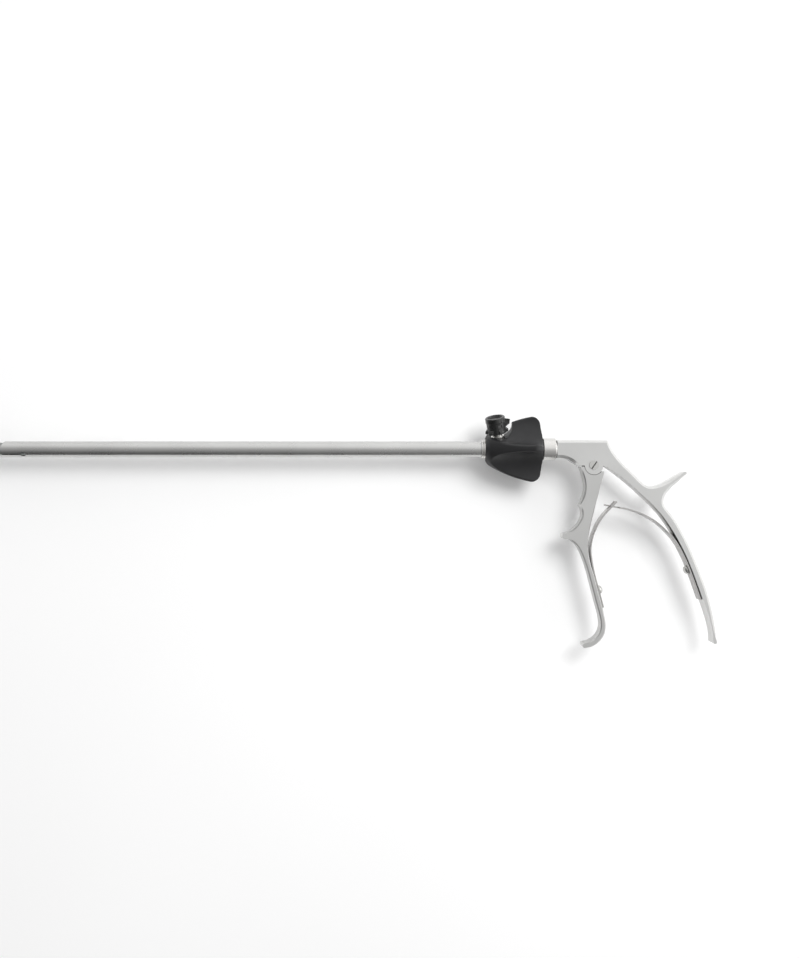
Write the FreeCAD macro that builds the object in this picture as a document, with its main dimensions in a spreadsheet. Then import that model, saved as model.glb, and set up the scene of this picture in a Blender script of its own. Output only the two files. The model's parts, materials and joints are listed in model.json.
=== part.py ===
import FreeCAD, Part
import math
import os

import Sketcher

# Clip applier with a ten millimetre shaft, lying on its side.
# +X runs along the shaft from the jaws to the handle, +Y points to the top of
# the handle and +Z to the side that lies upwards. The origin is on the shaft's
# axis, where the shaft leaves the ring in front of the rotation knob.

V = FreeCAD.Vector
X_AXIS = V(1, 0, 0)
Z_AXIS = V(0, 0, 1)

# Driving dimensions in millimetres and degrees, each with a plain name
SIZES = {
    # shaft tube and its slanted mouth
    "working_len": 330.0,
    "tube_dia": 10.0,
    "tube_wall": 0.6,
    "mouth_setback": 30.9,
    "mouth_angle": 22.0,
    "tail_dia": 9.6,
    "tail_start_x": 0.0,
    "tube_tail_in": 0.7,
    "slide_gap": 0.05,
    "run_gap": 0.1,
    # key slot that opens to the mouth
    "keyhole_dia": 3.5,
    "keyhole_setback": 45.0,
    "key_slot_width": 1.0,
    "key_angle": 41.0,
    "key_pin_dia": 0.8,
    "key_pin_setback": 36.5,
    "drive_key_dia": 2.5,
    "drive_key_in": 12.2,
    "stroke_room": 3.8,
    # rod inside the shaft
    "rod_dia": 3.0,
    "rod_flange_dia": 5.4,
    "rod_flange_len": 1.0,
    "rod_reach": 30.9,
    # sleeve at the tail of the tube
    "sleeve_dia": 7.0,
    "groove_core_dia": 4.2,
    "groove_len": 3.5,
    "tail_flange_len": 1.7,
    "plug_len": 7.5,
    # ring in front of the knob
    "ring_front": 0.1,
    "ring_len": 2.5,
    "ring_dia": 12.2,
    "ring_groove": 0.5,
    "ring_spigot_len": 1.6,
    "ring_spigot_dia": 11.3,
    # knob and its steel core
    "knob_len": 35.7,
    "knob_dia": 40.8,
    "nose_dia": 13.8,
    "knob_crest_in": 6.8,
    "knob_rear_slope": 1.2,
    "nose_rise": 3.8,
    "nose_rise_len": 3.1,
    "nose_curve": 6.8,
    "flank_curve": 80.0,
    "fin_count": 4.0,
    "scoop_overrun_front": 7.5,
    "scoop_overrun_rear": 11.8,
    "core_dia": 13.0,
    "core_floor": 0.5,
    "journal_dia": 8.6,
    "journal_len": 4.0,
    "scoop_radius": 14.6,
    "scoop_depth_front": 11.7,
    "scoop_depth_rear": 6.4,
    "notch_radius": 7.0,
    "notch_x": 12.3,
    "notch_height": 15.4,
    # flushing port and its cap
    "port_x": 11.6,
    "port_lean": 10.0,
    "port_tilt": 18.0,
    "port_root": 5.5,
    "port_stem_dia": 5.0,
    "port_base_dia": 8.4,
    "port_base_at": 7.2,
    "gasket_thick": 0.35,
    "port_base_len": 1.7,
    "port_dia": 6.0,
    "port_bore_dia": 4.2,
    "port_top": 16.0,
    "port_lug_dia": 7.6,
    "cap_dia": 12.3,
    "cap_bottom": 9.4,
    "cap_top": 21.0,
    "cap_wall": 1.6,
    "cap_lug_count": 6.0,
    "cap_lug_reach": 0.95,
    "cap_lug_width": 2.6,
    "cap_tab_reach": 3.1,
    "cap_tab_turn": 20.0,
    "cap_gap": 0.4,
    "luer_plug_dia": 3.8,
    "luer_plug_len": 5.0,
    # collar and the clip that holds the journal in it
    "collar_gap": 0.6,
    "collar_len": 7.9,
    "collar_dia": 13.8,
    "collar_front_wall": 1.3,
    "clip_dia": 11.0,
    "clip_len": 1.2,
    # handle
    "handle_gap": 0.3,
    "handle_thick": 10.0,
    "edge_bevel": 1.6,
    "trigger_bevel": 0.6,
    "spigot_dia": 10.6,
    "spigot_len": 3.8,
    "neck_top": 5.6,
    "bore_reach": 28.6,
    "plug_dia": 6.0,
    # trigger, its pivot and the fork that drives the sleeve
    "pivot_reach": 22.7,
    "pivot_drop": 10.0,
    "lever_len": 10.08,
    "half_stroke": 10.0,
    "lobe_radius": 5.8,
    "lobe_gap": 0.3,
    "tongue_thick": 6.8,
    "tongue_gap": 0.2,
    "tongue_radius": 5.5,
    "fork_head_dia": 3.2,
    "fork_neck_width": 2.0,
    "bush_dia": 5.0,
    "pivot_dia": 3.6,
    "pivot_head_dia": 5.8,
    "pivot_head_len": 1.2,
    # leaf springs and their screws
    "leaf_thick": 1.0,
    "leaf_width": 8.0,
    "fork_slot_width": 3.4,
    "fork_slot_len": 7.0,
    "tongue_width": 2.4,
    "tongue_len": 9.0,
    "leaf_screw_dia": 3.0,
    "leaf_head_dia": 5.6,
    "leaf_head_len": 2.3,
    "leaf_screw_depth": 2.4,
    # jaws
    "jaw_width": 5.2,
    "jaw_tip_width": 3.6,
    "jaw_pin_setback": 30.5,
    "jaw_pin_height": 2.3,
    "jaw_pin_dia": 1.4,
    "jaw_tongue": 3.0,
    "jaw_gap": 0.05,
    "jaw_groove_width": 1.0,
    "jaw_groove_depth": 0.5,
    "jaw_groove_len": 18.5,
    "jaw_slot_setback": 27.4,
    "jaw_slot_len": 6.6,
    "jaw_shoulder": 24.8,
    "jaw_root": 2.1,
    "jaw_plan_over": 10.0,
    "stem_start": 1.0,
    "stem_len": 18.0,
    "rod_in_stem": 6.0,
}


class Term:
    """A size that remembers how the sheet works it out."""

    def __init__(self, value, text):
        self.value = value
        self.text = text

    def __add__(self, other):
        other = as_term(other)
        return Term(self.value + other.value, "(%s + %s)" % (self.text, other.text))

    def __sub__(self, other):
        other = as_term(other)
        return Term(self.value - other.value, "(%s - %s)" % (self.text, other.text))

    def __mul__(self, other):
        other = as_term(other)
        return Term(self.value * other.value, "(%s * %s)" % (self.text, other.text))

    def __truediv__(self, other):
        other = as_term(other)
        return Term(self.value / other.value, "(%s / %s)" % (self.text, other.text))

    def __radd__(self, other):
        return as_term(other) + self

    def __rsub__(self, other):
        return as_term(other) - self

    def __rmul__(self, other):
        return as_term(other) * self

    def __neg__(self):
        return Term(-self.value, "(0 - %s)" % self.text)


def as_term(number):
    """Give a plain number the same form as a size from the sheet."""
    if isinstance(number, Term):
        return number
    return Term(float(number), repr(float(number)))


doc = FreeCAD.newDocument("clip_applier")
sheet = doc.addObject("Spreadsheet::Sheet", "sizes")
for row, (name, number) in enumerate(SIZES.items(), start=1):
    sheet.set("A%d" % row, name)
    sheet.set("B%d" % row, repr(number))
    sheet.setAlias("B%d" % row, name)
doc.recompute()


def size(name):
    """A driving dimension, bound to its cell."""
    return Term(float(sheet.get(name)), "sizes." + name)


# Sizes that follow from the driving ones
tube_r = size("tube_dia") / 2
tube_bore_r = tube_r - size("tube_wall")
rod_r = size("rod_dia") / 2
sleeve_r = size("sleeve_dia") / 2
sleeve_bore_r = rod_r + size("run_gap")
handle_bore_r = sleeve_r + size("run_gap")
core_r = size("core_dia") / 2
core_bore_r = size("tail_dia") / 2 + size("slide_gap")
journal_r = size("journal_dia") / 2
knob_x = size("ring_len")
knob_rear_x = knob_x + size("knob_len")
tip_x = -size("working_len")
mouth_x = tip_x + size("mouth_setback")
tube_tail_x = knob_rear_x - size("tube_tail_in")
drive_key_x = knob_rear_x - size("drive_key_in")
knob_crest_x = knob_rear_x - size("knob_crest_in")
collar_x = knob_rear_x + size("collar_gap")
handle_front_x = collar_x + size("collar_len") + size("handle_gap")
pivot_x = handle_front_x + size("pivot_reach")
bore_end_x = handle_front_x + size("bore_reach")
rod_end_x = handle_front_x + size("rod_reach")
half_thick = size("handle_thick") / 2
pivot_y = -size("pivot_drop")
yoke_x = pivot_x + size("lever_len") * math.sin(math.radians(SIZES["half_stroke"]))
sleeve_tail_x = yoke_x + size("groove_len") / 2 + size("tail_flange_len")
slot_half = size("tongue_thick") / 2 + size("tongue_gap")

nodes = []


def keep(thing, label):
    """Name a finished sub-part."""
    thing.Label = label
    nodes.append(thing)
    return thing


def origin_plane(body, role):
    """One of a body's own origin planes, found by its role."""
    for feature in body.Origin.OriginFeatures:
        if feature.Role == role:
            return feature
    raise ValueError(role)


def new_sketch(body, name, role):
    """A sketch that lies flat on one of the body's own planes."""
    sketch = body.newObject("Sketcher::SketchObject", name)
    sketch.AttachmentSupport = [(origin_plane(body, role), "")]
    sketch.MapMode = "FlatFace"
    return sketch


def point_of(corner):
    """The place of a corner whose numbers may be sizes."""
    return V(as_term(corner[0]).value, as_term(corner[1]).value, 0)


def bulged(start, end, radius):
    """An arc between two points; a positive radius bulges to the left of the way."""
    middle = (start + end) * 0.5
    way = end - start
    half = way.Length / 2
    reach = max(abs(radius), half * 1.0001)
    rise = reach - math.sqrt(reach * reach - half * half)
    left = V(-way.y, way.x, 0).normalize()
    if radius < 0:
        rise = -rise
    return Part.Arc(start, middle + left * rise, end)


def draw_outline(sketch, corners):
    """Close an outline whose corners are held by the sheet.

    A corner is (x, y), or (x, y, radius) when an arc leaves it.
    """
    ends = []
    for index, corner in enumerate(corners):
        start = point_of(corner)
        end = point_of(corners[(index + 1) % len(corners)])
        if len(corner) == 3:
            edge = sketch.addGeometry(bulged(start, end, as_term(corner[2]).value))
            turned = sketch.getPoint(edge, 1).distanceToPoint(start) > 1e-6
            ends.append((edge, 2, 1) if turned else (edge, 1, 2))
        else:
            edge = sketch.addGeometry(Part.LineSegment(start, end))
            ends.append((edge, 1, 2))
    for index, corner in enumerate(corners):
        edge, first, last = ends[index]
        follower, follower_first, _ = ends[(index + 1) % len(corners)]
        sketch.addConstraint(Sketcher.Constraint("Coincident", edge, last, follower, follower_first))
        hold(sketch, "DistanceX", (-1, 1, edge, first), corner[0])
        hold(sketch, "DistanceY", (-1, 1, edge, first), corner[1])
        if len(corner) == 3:
            radius = as_term(corner[2])
            hold(sketch, "Radius", (edge,), Term(abs(radius.value), "abs(%s)" % radius.text))


def hold(sketch, kind, where, amount):
    """Add a measured constraint and bind it to the sheet."""
    amount = as_term(amount)
    index = sketch.addConstraint(Sketcher.Constraint(kind, *where, amount.value))
    sketch.setExpression("Constraints[%d]" % index, amount.text)


def draw_round(sketch, centre, radius):
    """A circle held by the sheet."""
    circle = Part.Circle(point_of(centre), Z_AXIS, as_term(radius).value)
    edge = sketch.addGeometry(circle)
    hold(sketch, "DistanceX", (-1, 1, edge, 3), centre[0])
    hold(sketch, "DistanceY", (-1, 1, edge, 3), centre[1])
    hold(sketch, "Radius", (edge,), radius)


def new_body(name):
    """An empty body."""
    return doc.addObject("PartDesign::Body", name)


def turn(body, name, profile):
    """Revolve a profile of (along X, radius) corners about the X axis."""
    sketch = new_sketch(body, name + "_profile", "XY_Plane")
    draw_outline(sketch, profile)
    turned = body.newObject("PartDesign::Revolution", name)
    turned.Profile = sketch
    turned.ReferenceAxis = (sketch, ["H_Axis"])
    turned.Angle = 360
    return turned


def turned_body(name, profile):
    """A body that is one revolved profile."""
    body = new_body(name)
    turn(body, name + "_turned", profile)
    return body


def pad(body, name, role, corners, thickness, middle=True):
    """A pad of a held outline on one of the body's planes."""
    sketch = new_sketch(body, name + "_outline", role)
    draw_outline(sketch, corners)
    return grow(body, name, sketch, thickness, middle)


def grow(body, name, sketch, thickness, middle=True):
    """Pad a sketch, to both sides of its plane or to one."""
    feature = body.newObject("PartDesign::Pad", name)
    feature.Profile = sketch
    if middle:
        feature.SideType = "Symmetric"
    feature.setExpression("Length", as_term(thickness).text)
    return feature


def cut_through(body, name, role, corners, depth):
    """A pocket of a held outline, to both sides of its plane."""
    sketch = new_sketch(body, name + "_outline", role)
    draw_outline(sketch, corners)
    feature = body.newObject("PartDesign::Pocket", name)
    feature.Profile = sketch
    feature.SideType = "Symmetric"
    feature.setExpression("Length", as_term(depth).text)
    return feature


def cylinder(name, radius, length, base, direction=X_AXIS):
    """A round bar from a point along a direction."""
    bar = doc.addObject("Part::Cylinder", name)
    bar.setExpression("Radius", as_term(radius).text)
    bar.setExpression("Height", as_term(length).text)
    bar.Placement = FreeCAD.Placement(base, FreeCAD.Rotation(Z_AXIS, direction))
    return bar


def block(name, length, width, height, corner, rotation=None):
    """A box from its low corner, turned about that corner if asked."""
    box = doc.addObject("Part::Box", name)
    box.setExpression("Length", as_term(length).text)
    box.setExpression("Width", as_term(width).text)
    box.setExpression("Height", as_term(height).text)
    box.Placement = FreeCAD.Placement(corner, rotation or FreeCAD.Rotation())
    return box


def torus(name, middle_radius, section_radius, centre, direction=X_AXIS):
    """A sealing ring about an axis."""
    ring = doc.addObject("Part::Torus", name)
    ring.setExpression("Radius1", as_term(middle_radius).text)
    ring.setExpression("Radius2", as_term(section_radius).text)
    ring.Placement = FreeCAD.Placement(centre, FreeCAD.Rotation(Z_AXIS, direction))
    return ring


def fused(name, things):
    """Join several shapes."""
    union = doc.addObject("Part::MultiFuse", name)
    union.Shapes = things
    return union


def without(name, base, tool):
    """Cut one shape out of another."""
    cut = doc.addObject("Part::Cut", name)
    cut.Base = base
    cut.Tool = tool
    return cut


def shared(name, things):
    """The space that several shapes share."""
    common = doc.addObject("Part::MultiCommon", name)
    common.Shapes = things
    return common


def along(distance, height=0.0, side=0.0):
    """A point whose numbers may be sizes."""
    return V(as_term(distance).value, as_term(height).value, as_term(side).value)


# Tube
def make_outer_tube():
    """Shaft tube with its slanted mouth, keyhole, key slot and flushing slot."""
    start = tip_x + size("mouth_setback") / 2
    length = tube_tail_x - start
    tail_r = size("tail_dia") / 2
    free = cylinder("tube_free", tube_r, size("tail_start_x") - start, along(start))
    tail = cylinder("tube_tail", tail_r, tube_tail_x - size("tail_start_x"), along(size("tail_start_x")))
    wall = fused("tube_outside", [free, tail])
    lumen = cylinder("tube_lumen", tube_bore_r, length + 2, along(start - 1))
    angle = math.radians(SIZES["mouth_angle"])
    lip = size("tube_dia") * 3
    mouth_corner = along(mouth_x) + V(-math.cos(angle), math.sin(angle), 0) * lip.value
    mouth_corner = mouth_corner + V(-math.sin(angle), -math.cos(angle), 0) * lip.value - Z_AXIS * lip.value / 2
    mouth_turn = FreeCAD.Rotation(Z_AXIS, -SIZES["mouth_angle"])
    mouth = block("tube_mouth", lip, lip * 2, lip, mouth_corner, mouth_turn)
    key_way = radial(-SIZES["key_angle"])
    hole_centre = along(tip_x + size("keyhole_setback"))
    keyhole = cylinder("tube_keyhole", size("keyhole_dia") / 2, size("tube_dia"), hole_centre, key_way)
    slit_len = size("keyhole_setback") - size("mouth_setback") / 2
    slit_turn = FreeCAD.Rotation(X_AXIS, SIZES["key_angle"])
    half_slit = size("key_slot_width").value / 2
    slit_corner = along(tip_x + size("mouth_setback") / 2) + slit_turn.multVec(V(0, -half_slit, 0))
    slit = block("tube_key_slot", slit_len, size("key_slot_width"), size("tube_dia"), slit_corner, slit_turn)
    flush_len = size("port_bore_dia") + 4
    flush_turn = FreeCAD.Rotation(X_AXIS, -90 + SIZES["port_tilt"])
    flush_corner = along(size("port_x") - flush_len / 2) + flush_turn.multVec(V(0, -1.5, 0))
    flush = block("tube_flush_slot", flush_len, 3.0, size("tube_dia"), flush_corner, flush_turn)
    drive_turn = FreeCAD.Rotation(X_AXIS, 90)
    drive_width = size("drive_key_dia") + 0.1
    drive_corner = along(drive_key_x - drive_width / 2) + drive_turn.multVec(V(0, -drive_width.value / 2, 0))
    drive = block("tube_drive_slot", drive_width + size("stroke_room"), drive_width, size("tube_dia"),
                  drive_corner, drive_turn)
    cutters = fused("tube_cutters", [lumen, mouth, keyhole, slit, flush, drive])
    return keep(without("outer_tube", wall, cutters), "outer_tube")


def radial(angle_from_z):
    """Direction away from the shaft's axis, turned from +Z towards +Y."""
    angle = math.radians(angle_from_z)
    return V(0, math.sin(angle), math.cos(angle))


def make_drive_sleeve():
    """Sleeve in the tube's tail, with the groove that the fork drives."""
    plug_start = tube_tail_x - size("plug_len")
    groove_start = yoke_x - size("groove_len") / 2
    groove_end = yoke_x + size("groove_len") / 2
    core = size("groove_core_dia") / 2
    profile = [
        (plug_start, sleeve_bore_r),
        (plug_start, tube_bore_r),
        (tube_tail_x, tube_bore_r),
        (tube_tail_x, sleeve_r),
        (groove_start, sleeve_r),
        (groove_start, core),
        (groove_end, core),
        (groove_end, sleeve_r),
        (sleeve_tail_x, sleeve_r),
        (sleeve_tail_x, sleeve_bore_r),
    ]
    return keep(turned_body("drive_sleeve", profile), "drive_sleeve")


def make_inner_rod():
    """Rod from the jaws' stem to the flange that is held in the handle."""
    flange_x = rod_end_x - size("rod_flange_len")
    start = mouth_x + size("stem_len") - size("rod_in_stem")
    profile = [
        (start, 0),
        (start, rod_r),
        (flange_x, rod_r),
        (flange_x, size("rod_flange_dia") / 2),
        (rod_end_x, size("rod_flange_dia") / 2),
        (rod_end_x, 0),
    ]
    return keep(turned_body("inner_rod", profile), "inner_rod")


# Knob, ring and core
def make_front_ring():
    """Double lipped ring where the shaft leaves the knob."""
    ring_r = size("ring_dia") / 2
    low = ring_r - size("ring_groove")
    spigot_r = size("ring_spigot_dia") / 2
    end = size("ring_len") + size("ring_spigot_len")
    profile = [
        (size("ring_front"), core_bore_r),
        (size("ring_front"), low),
        (0.25, ring_r),
        (0.85, ring_r),
        (1.1, low),
        (1.45, low),
        (1.7, ring_r),
        (size("ring_len"), ring_r),
        (size("ring_len"), spigot_r),
        (end, spigot_r),
        (end, core_bore_r),
    ]
    return keep(turned_body("front_ring", profile), "front_ring")


def make_front_seal():
    """Sealing ring between the ring's spigot and the core, round the tube."""
    section = 0.25
    seat = size("ring_len") + size("ring_spigot_len") + section + 0.05
    ring = torus("front_seal", core_bore_r + section, section, along(seat))
    return keep(ring, "front_seal")


def make_knob_core():
    """Steel core that carries the knob, with the journal that turns in the collar."""
    seat_r = size("ring_spigot_dia") / 2
    seat_end = size("ring_len") + size("ring_spigot_len")
    seal_end = seat_end + 0.65
    floor_x = knob_rear_x - size("core_floor")
    journal_end = knob_rear_x + size("journal_len")
    clip_x = collar_x + size("collar_front_wall") + 0.3
    profile = [
        (knob_x, seat_r),
        (knob_x, core_r),
        (knob_rear_x, core_r),
        (knob_rear_x, journal_r),
        (clip_x, journal_r),
        (clip_x, journal_r - 0.3),
        (clip_x + size("clip_len"), journal_r - 0.3),
        (clip_x + size("clip_len"), journal_r),
        (journal_end, journal_r),
        (journal_end, handle_bore_r),
        (floor_x, handle_bore_r),
        (floor_x, core_bore_r),
        (seal_end, core_bore_r),
        (seal_end, core_bore_r + 0.55),
        (seat_end, core_bore_r + 0.55),
        (seat_end, seat_r),
    ]
    turned = turned_body("core_turned", profile)
    port = cylinder("core_port_hole", size("port_stem_dia") / 2, core_r + 3, along(size("port_x")), port_way())
    seat_at = port_place().multVec(V(0, 0, SIZES["port_base_at"] - SIZES["gasket_thick"] - 0.03))
    seat = cylinder("core_port_seat", size("port_base_dia") / 2 + 0.1, 6, seat_at, port_way())
    key = cylinder("core_key_hole", size("drive_key_dia") / 2 + 0.01, core_r + 2, along(drive_key_x),
                   V(0, -1, 0))
    holes = fused("core_holes", [port, seat, key])
    return keep(without("knob_core", turned, holes), "knob_core")


def port_way():
    """Direction of the flushing port, away from the shaft."""
    lean = math.radians(SIZES["port_lean"])
    tilt = math.radians(SIZES["port_tilt"])
    return V(-math.sin(lean), math.cos(lean) * math.cos(tilt), math.cos(lean) * math.sin(tilt))


def port_place():
    """Placement whose Z axis is the port's axis and whose origin is on the shaft's axis."""
    return FreeCAD.Placement(along(size("port_x")), FreeCAD.Rotation(Z_AXIS, port_way()))


def make_rotation_knob():
    """Four finned knob: a turned form, scooped between its fins."""
    bore_r = core_r + 0.02
    crest_r = size("knob_dia") / 2
    nose_r = size("nose_dia") / 2
    rear_round = size("knob_crest_in") - size("knob_rear_slope")
    profile = [
        (knob_x, bore_r),
        (knob_x, nose_r, size("nose_curve")),
        (knob_x + size("nose_rise_len"), nose_r + size("nose_rise"), size("flank_curve")),
        (knob_crest_x, crest_r, rear_round),
        (knob_crest_x + rear_round, crest_r - rear_round),
        (knob_rear_x, nose_r),
        (knob_rear_x, bore_r),
    ]
    turned = turned_body("knob_turned", profile)
    cutters = []
    front_x = (knob_x - size("scoop_overrun_front")).value
    rear_x = (knob_rear_x + size("scoop_overrun_rear")).value
    fins = round(SIZES["fin_count"])
    fin_step = 360.0 / fins
    for number in range(fins):
        way = radial(fin_step * (number + 0.5))
        front = V(front_x, 0, 0) + way * (SIZES["scoop_radius"] + SIZES["scoop_depth_front"])
        rear = V(rear_x, 0, 0) + way * (SIZES["scoop_radius"] + SIZES["scoop_depth_rear"])
        length = (rear - front).Length
        name = "knob_scoop_%d" % (number + 1)
        cutters.append(cylinder(name, size("scoop_radius"), length, front, rear - front))
    notch_way = radial(-SIZES["port_tilt"])
    notch_at = along(size("notch_x"), size("notch_height")) - notch_way * crest_r.value
    cutters.append(cylinder("knob_notch", size("notch_radius"), size("knob_dia"), notch_at, notch_way))
    seat_at = port_place().multVec(V(0, 0, SIZES["cap_bottom"] - SIZES["cap_gap"]))
    seat_r = size("cap_dia") / 2 + size("cap_lug_reach") + size("cap_gap")
    cutters.append(cylinder("knob_cap_seat", seat_r, size("knob_dia"), seat_at, port_way()))
    base_at = port_place().multVec(V(0, 0, core_r.value - 1))
    hole_r = size("port_base_dia") / 2 + 0.1
    cutters.append(cylinder("knob_port_hole", hole_r, size("nose_dia"), base_at, port_way()))
    scooped = without("knob_scooped", turned, fused("knob_cutters", cutters))
    return keep(scooped, "rotation_knob")


def make_drive_key_screw():
    """Headless screw whose tip keeps the tube turning with the core."""
    length = core_r - tube_bore_r - 0.5
    start = along(drive_key_x) + V(0, -1, 0) * (tube_bore_r.value + 0.25)
    screw = cylinder("drive_key_screw", size("drive_key_dia") / 2, length, start, V(0, -1, 0))
    return keep(screw, "drive_key_screw")


# Flushing port
def make_flush_port():
    """Steel luer fitting screwed into the core."""
    body = new_body("flush_port")
    bore = size("port_bore_dia") / 2
    base_end = size("port_base_at") + size("port_base_len")
    lug_start = size("port_top") - 1.2
    profile = [
        (bore, size("port_root")),
        (size("port_stem_dia") / 2, size("port_root")),
        (size("port_stem_dia") / 2, size("port_base_at")),
        (size("port_base_dia") / 2, size("port_base_at")),
        (size("port_base_dia") / 2, base_end),
        (size("port_dia") / 2, base_end),
        (size("port_dia") / 2, lug_start),
        (size("port_lug_dia") / 2, lug_start),
        (size("port_lug_dia") / 2, size("port_top")),
        (bore, size("port_top")),
    ]
    spin_upright(body, "port_turned", profile)
    body.Placement = port_place()
    return keep(body, "flush_port")


def spin_upright(body, name, profile):
    """Revolve a profile of (radius, height) corners about the body's Z axis."""
    sketch = new_sketch(body, name + "_profile", "XZ_Plane")
    draw_outline(sketch, profile)
    turned = body.newObject("PartDesign::Revolution", name)
    turned.Profile = sketch
    turned.ReferenceAxis = (sketch, ["V_Axis"])
    turned.Angle = 360
    return turned


def make_port_gasket():
    """Flat gasket under the port's base."""
    body = new_body("port_gasket")
    inner = size("port_stem_dia") / 2 + 0.05
    top = size("port_base_at") - 0.02
    low = top - size("gasket_thick")
    outer = size("port_base_dia") / 2 - 0.4
    profile = [(inner, low), (outer, low), (outer, top), (inner, top)]
    spin_upright(body, "gasket_turned", profile)
    body.Placement = port_place()
    return keep(body, "port_gasket")


def make_cap_seal():
    """Soft plug inside the cap, which lifts with it and doesn't turn."""
    body = new_body("cap_seal")
    flange_top = size("port_top") + 1.7
    flange_low = size("port_top") + 0.1
    plug = size("luer_plug_dia") / 2
    profile = [
        (0, size("port_top") - size("luer_plug_len")),
        (plug - 0.15, size("port_top") - size("luer_plug_len")),
        (plug, flange_low),
        (3.6, flange_low),
        (3.6, flange_top),
        (0, flange_top),
    ]
    spin_upright(body, "seal_turned", profile)
    body.Placement = port_place()
    return keep(body, "cap_seal")


def make_port_cap():
    """Luer cap with a dished top, lugs round its foot and one finger tab."""
    body = new_body("port_cap")
    outer = size("cap_dia") / 2
    inner = outer - size("cap_wall")
    roof = size("port_top") + 1.8
    profile = [
        (inner, size("cap_bottom")),
        (outer - 0.3, size("cap_bottom")),
        (outer - 0.3, size("cap_top") - 3.2),
        (outer, size("cap_top") - 2.9),
        (outer, size("cap_top") - 0.4),
        (outer - 0.4, size("cap_top")),
        (outer - 1.4, size("cap_top")),
        (outer - 2.0, size("cap_top") - 1.2),
        (0, size("cap_top") - 1.6),
        (0, roof),
        (inner, roof),
    ]
    spin_upright(body, "cap_turned", profile)
    reach = outer + size("cap_tab_reach")
    tab = pad(body, "cap_tab", "XZ_Plane", [
        (outer - 1.0, size("cap_top") - 1.8),
        (reach, size("cap_top") - 3.2),
        (reach - 0.7, size("cap_top") - 5.8),
        (outer - 1.0, size("cap_top") - 7.6),
    ], 1.6)
    tab.Profile[0].AttachmentOffset = FreeCAD.Placement(V(), FreeCAD.Rotation(V(0, 1, 0), SIZES["cap_tab_turn"]))
    lug_reach = outer + size("cap_lug_reach")
    low = size("cap_bottom")
    lug = pad(body, "cap_lug", "XZ_Plane", [
        (outer - 0.7, low),
        (lug_reach, low + 0.5),
        (lug_reach, low + 1.4),
        (outer - 0.7, low + 3.6),
    ], size("cap_lug_width"))
    lugs = around(body, "cap_lugs", lug, (lug.Profile[0], ["V_Axis"]), size("cap_lug_count"))
    body.Tip = lugs
    window_sketch = new_sketch(body, "cap_window_outline", "XY_Plane")
    window_sketch.AttachmentOffset = FreeCAD.Placement(V(0, 0, SIZES["cap_bottom"] + 3.9), FreeCAD.Rotation())
    half_lug = size("cap_lug_width") / 2
    draw_outline(window_sketch, [
        (outer - 0.9, -half_lug), (outer + 1, -half_lug), (outer + 1, half_lug), (outer - 0.9, half_lug)])
    window = body.newObject("PartDesign::Pocket", "cap_window")
    window.Profile = window_sketch
    window.Reversed = True
    window.setExpression("Length", (size("cap_top") - size("cap_bottom") - 9.7).text)
    windows = around(body, "cap_windows", window, (window_sketch, ["N_Axis"]), size("cap_lug_count"))
    body.Tip = windows
    body.Placement = port_place()
    return keep(body, "port_cap")


def around(body, name, feature, axis, count):
    """Repeat a feature evenly about an axis."""
    pattern = body.newObject("PartDesign::PolarPattern", name)
    pattern.Originals = [feature]
    pattern.Axis = axis
    pattern.Angle = 360
    pattern.setExpression("Occurrences", count.text)
    return pattern


# Collar and clip
def make_shaft_collar():
    """Union collar that screws on the handle and holds the core's journal."""
    front = collar_x
    rear = front + size("collar_len")
    outer = size("collar_dia") / 2
    chamfer = 0.8
    spigot_r = size("spigot_dia") / 2
    pocket_r = size("clip_dia") / 2 + 0.3
    wall = front + size("collar_front_wall")
    spigot_front = handle_front_x - size("spigot_len")
    profile = [
        (front, journal_r + size("run_gap")),
        (front, outer - 0.4),
        (front + 0.4, outer),
        (rear - chamfer, outer),
        (rear, outer - chamfer),
        (rear, spigot_r),
        (spigot_front, spigot_r),
        (spigot_front, pocket_r),
        (wall, pocket_r),
        (wall, journal_r + size("run_gap")),
    ]
    return keep(turned_body("shaft_collar", profile), "shaft_collar")


def make_journal_clip():
    """Open spring clip in the journal's groove."""
    front = collar_x + size("collar_front_wall") + 0.3
    inner = journal_r - 0.3
    profile = [
        (front, inner),
        (front, size("clip_dia") / 2),
        (front + size("clip_len"), size("clip_dia") / 2),
        (front + size("clip_len"), inner),
    ]
    ring = turned_body("clip_turned", profile)
    gap = block("clip_gap", size("clip_len") + 1, 3.0, size("clip_dia"), along(front - 0.5, -1.5, 0))
    return keep(without("journal_clip", ring, gap), "journal_clip")


# Handle
def spline(points):
    """A smooth edge through hand-picked points."""
    curve = Part.BSplineCurve()
    curve.interpolate([V(x, y, 0) for x, y in points])
    return curve


def line(start, end):
    """A straight edge."""
    return Part.LineSegment(V(start[0], start[1], 0), V(end[0], end[1], 0))


def bow(start, through, end):
    """An arc through three points."""
    return Part.Arc(V(start[0], start[1], 0), V(through[0], through[1], 0), V(end[0], end[1], 0))


def from_pivot(points):
    """Move points that are measured from the trigger's pivot to their place."""
    return [(x + pivot_x.value, y + pivot_y.value) for x, y in points]


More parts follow.
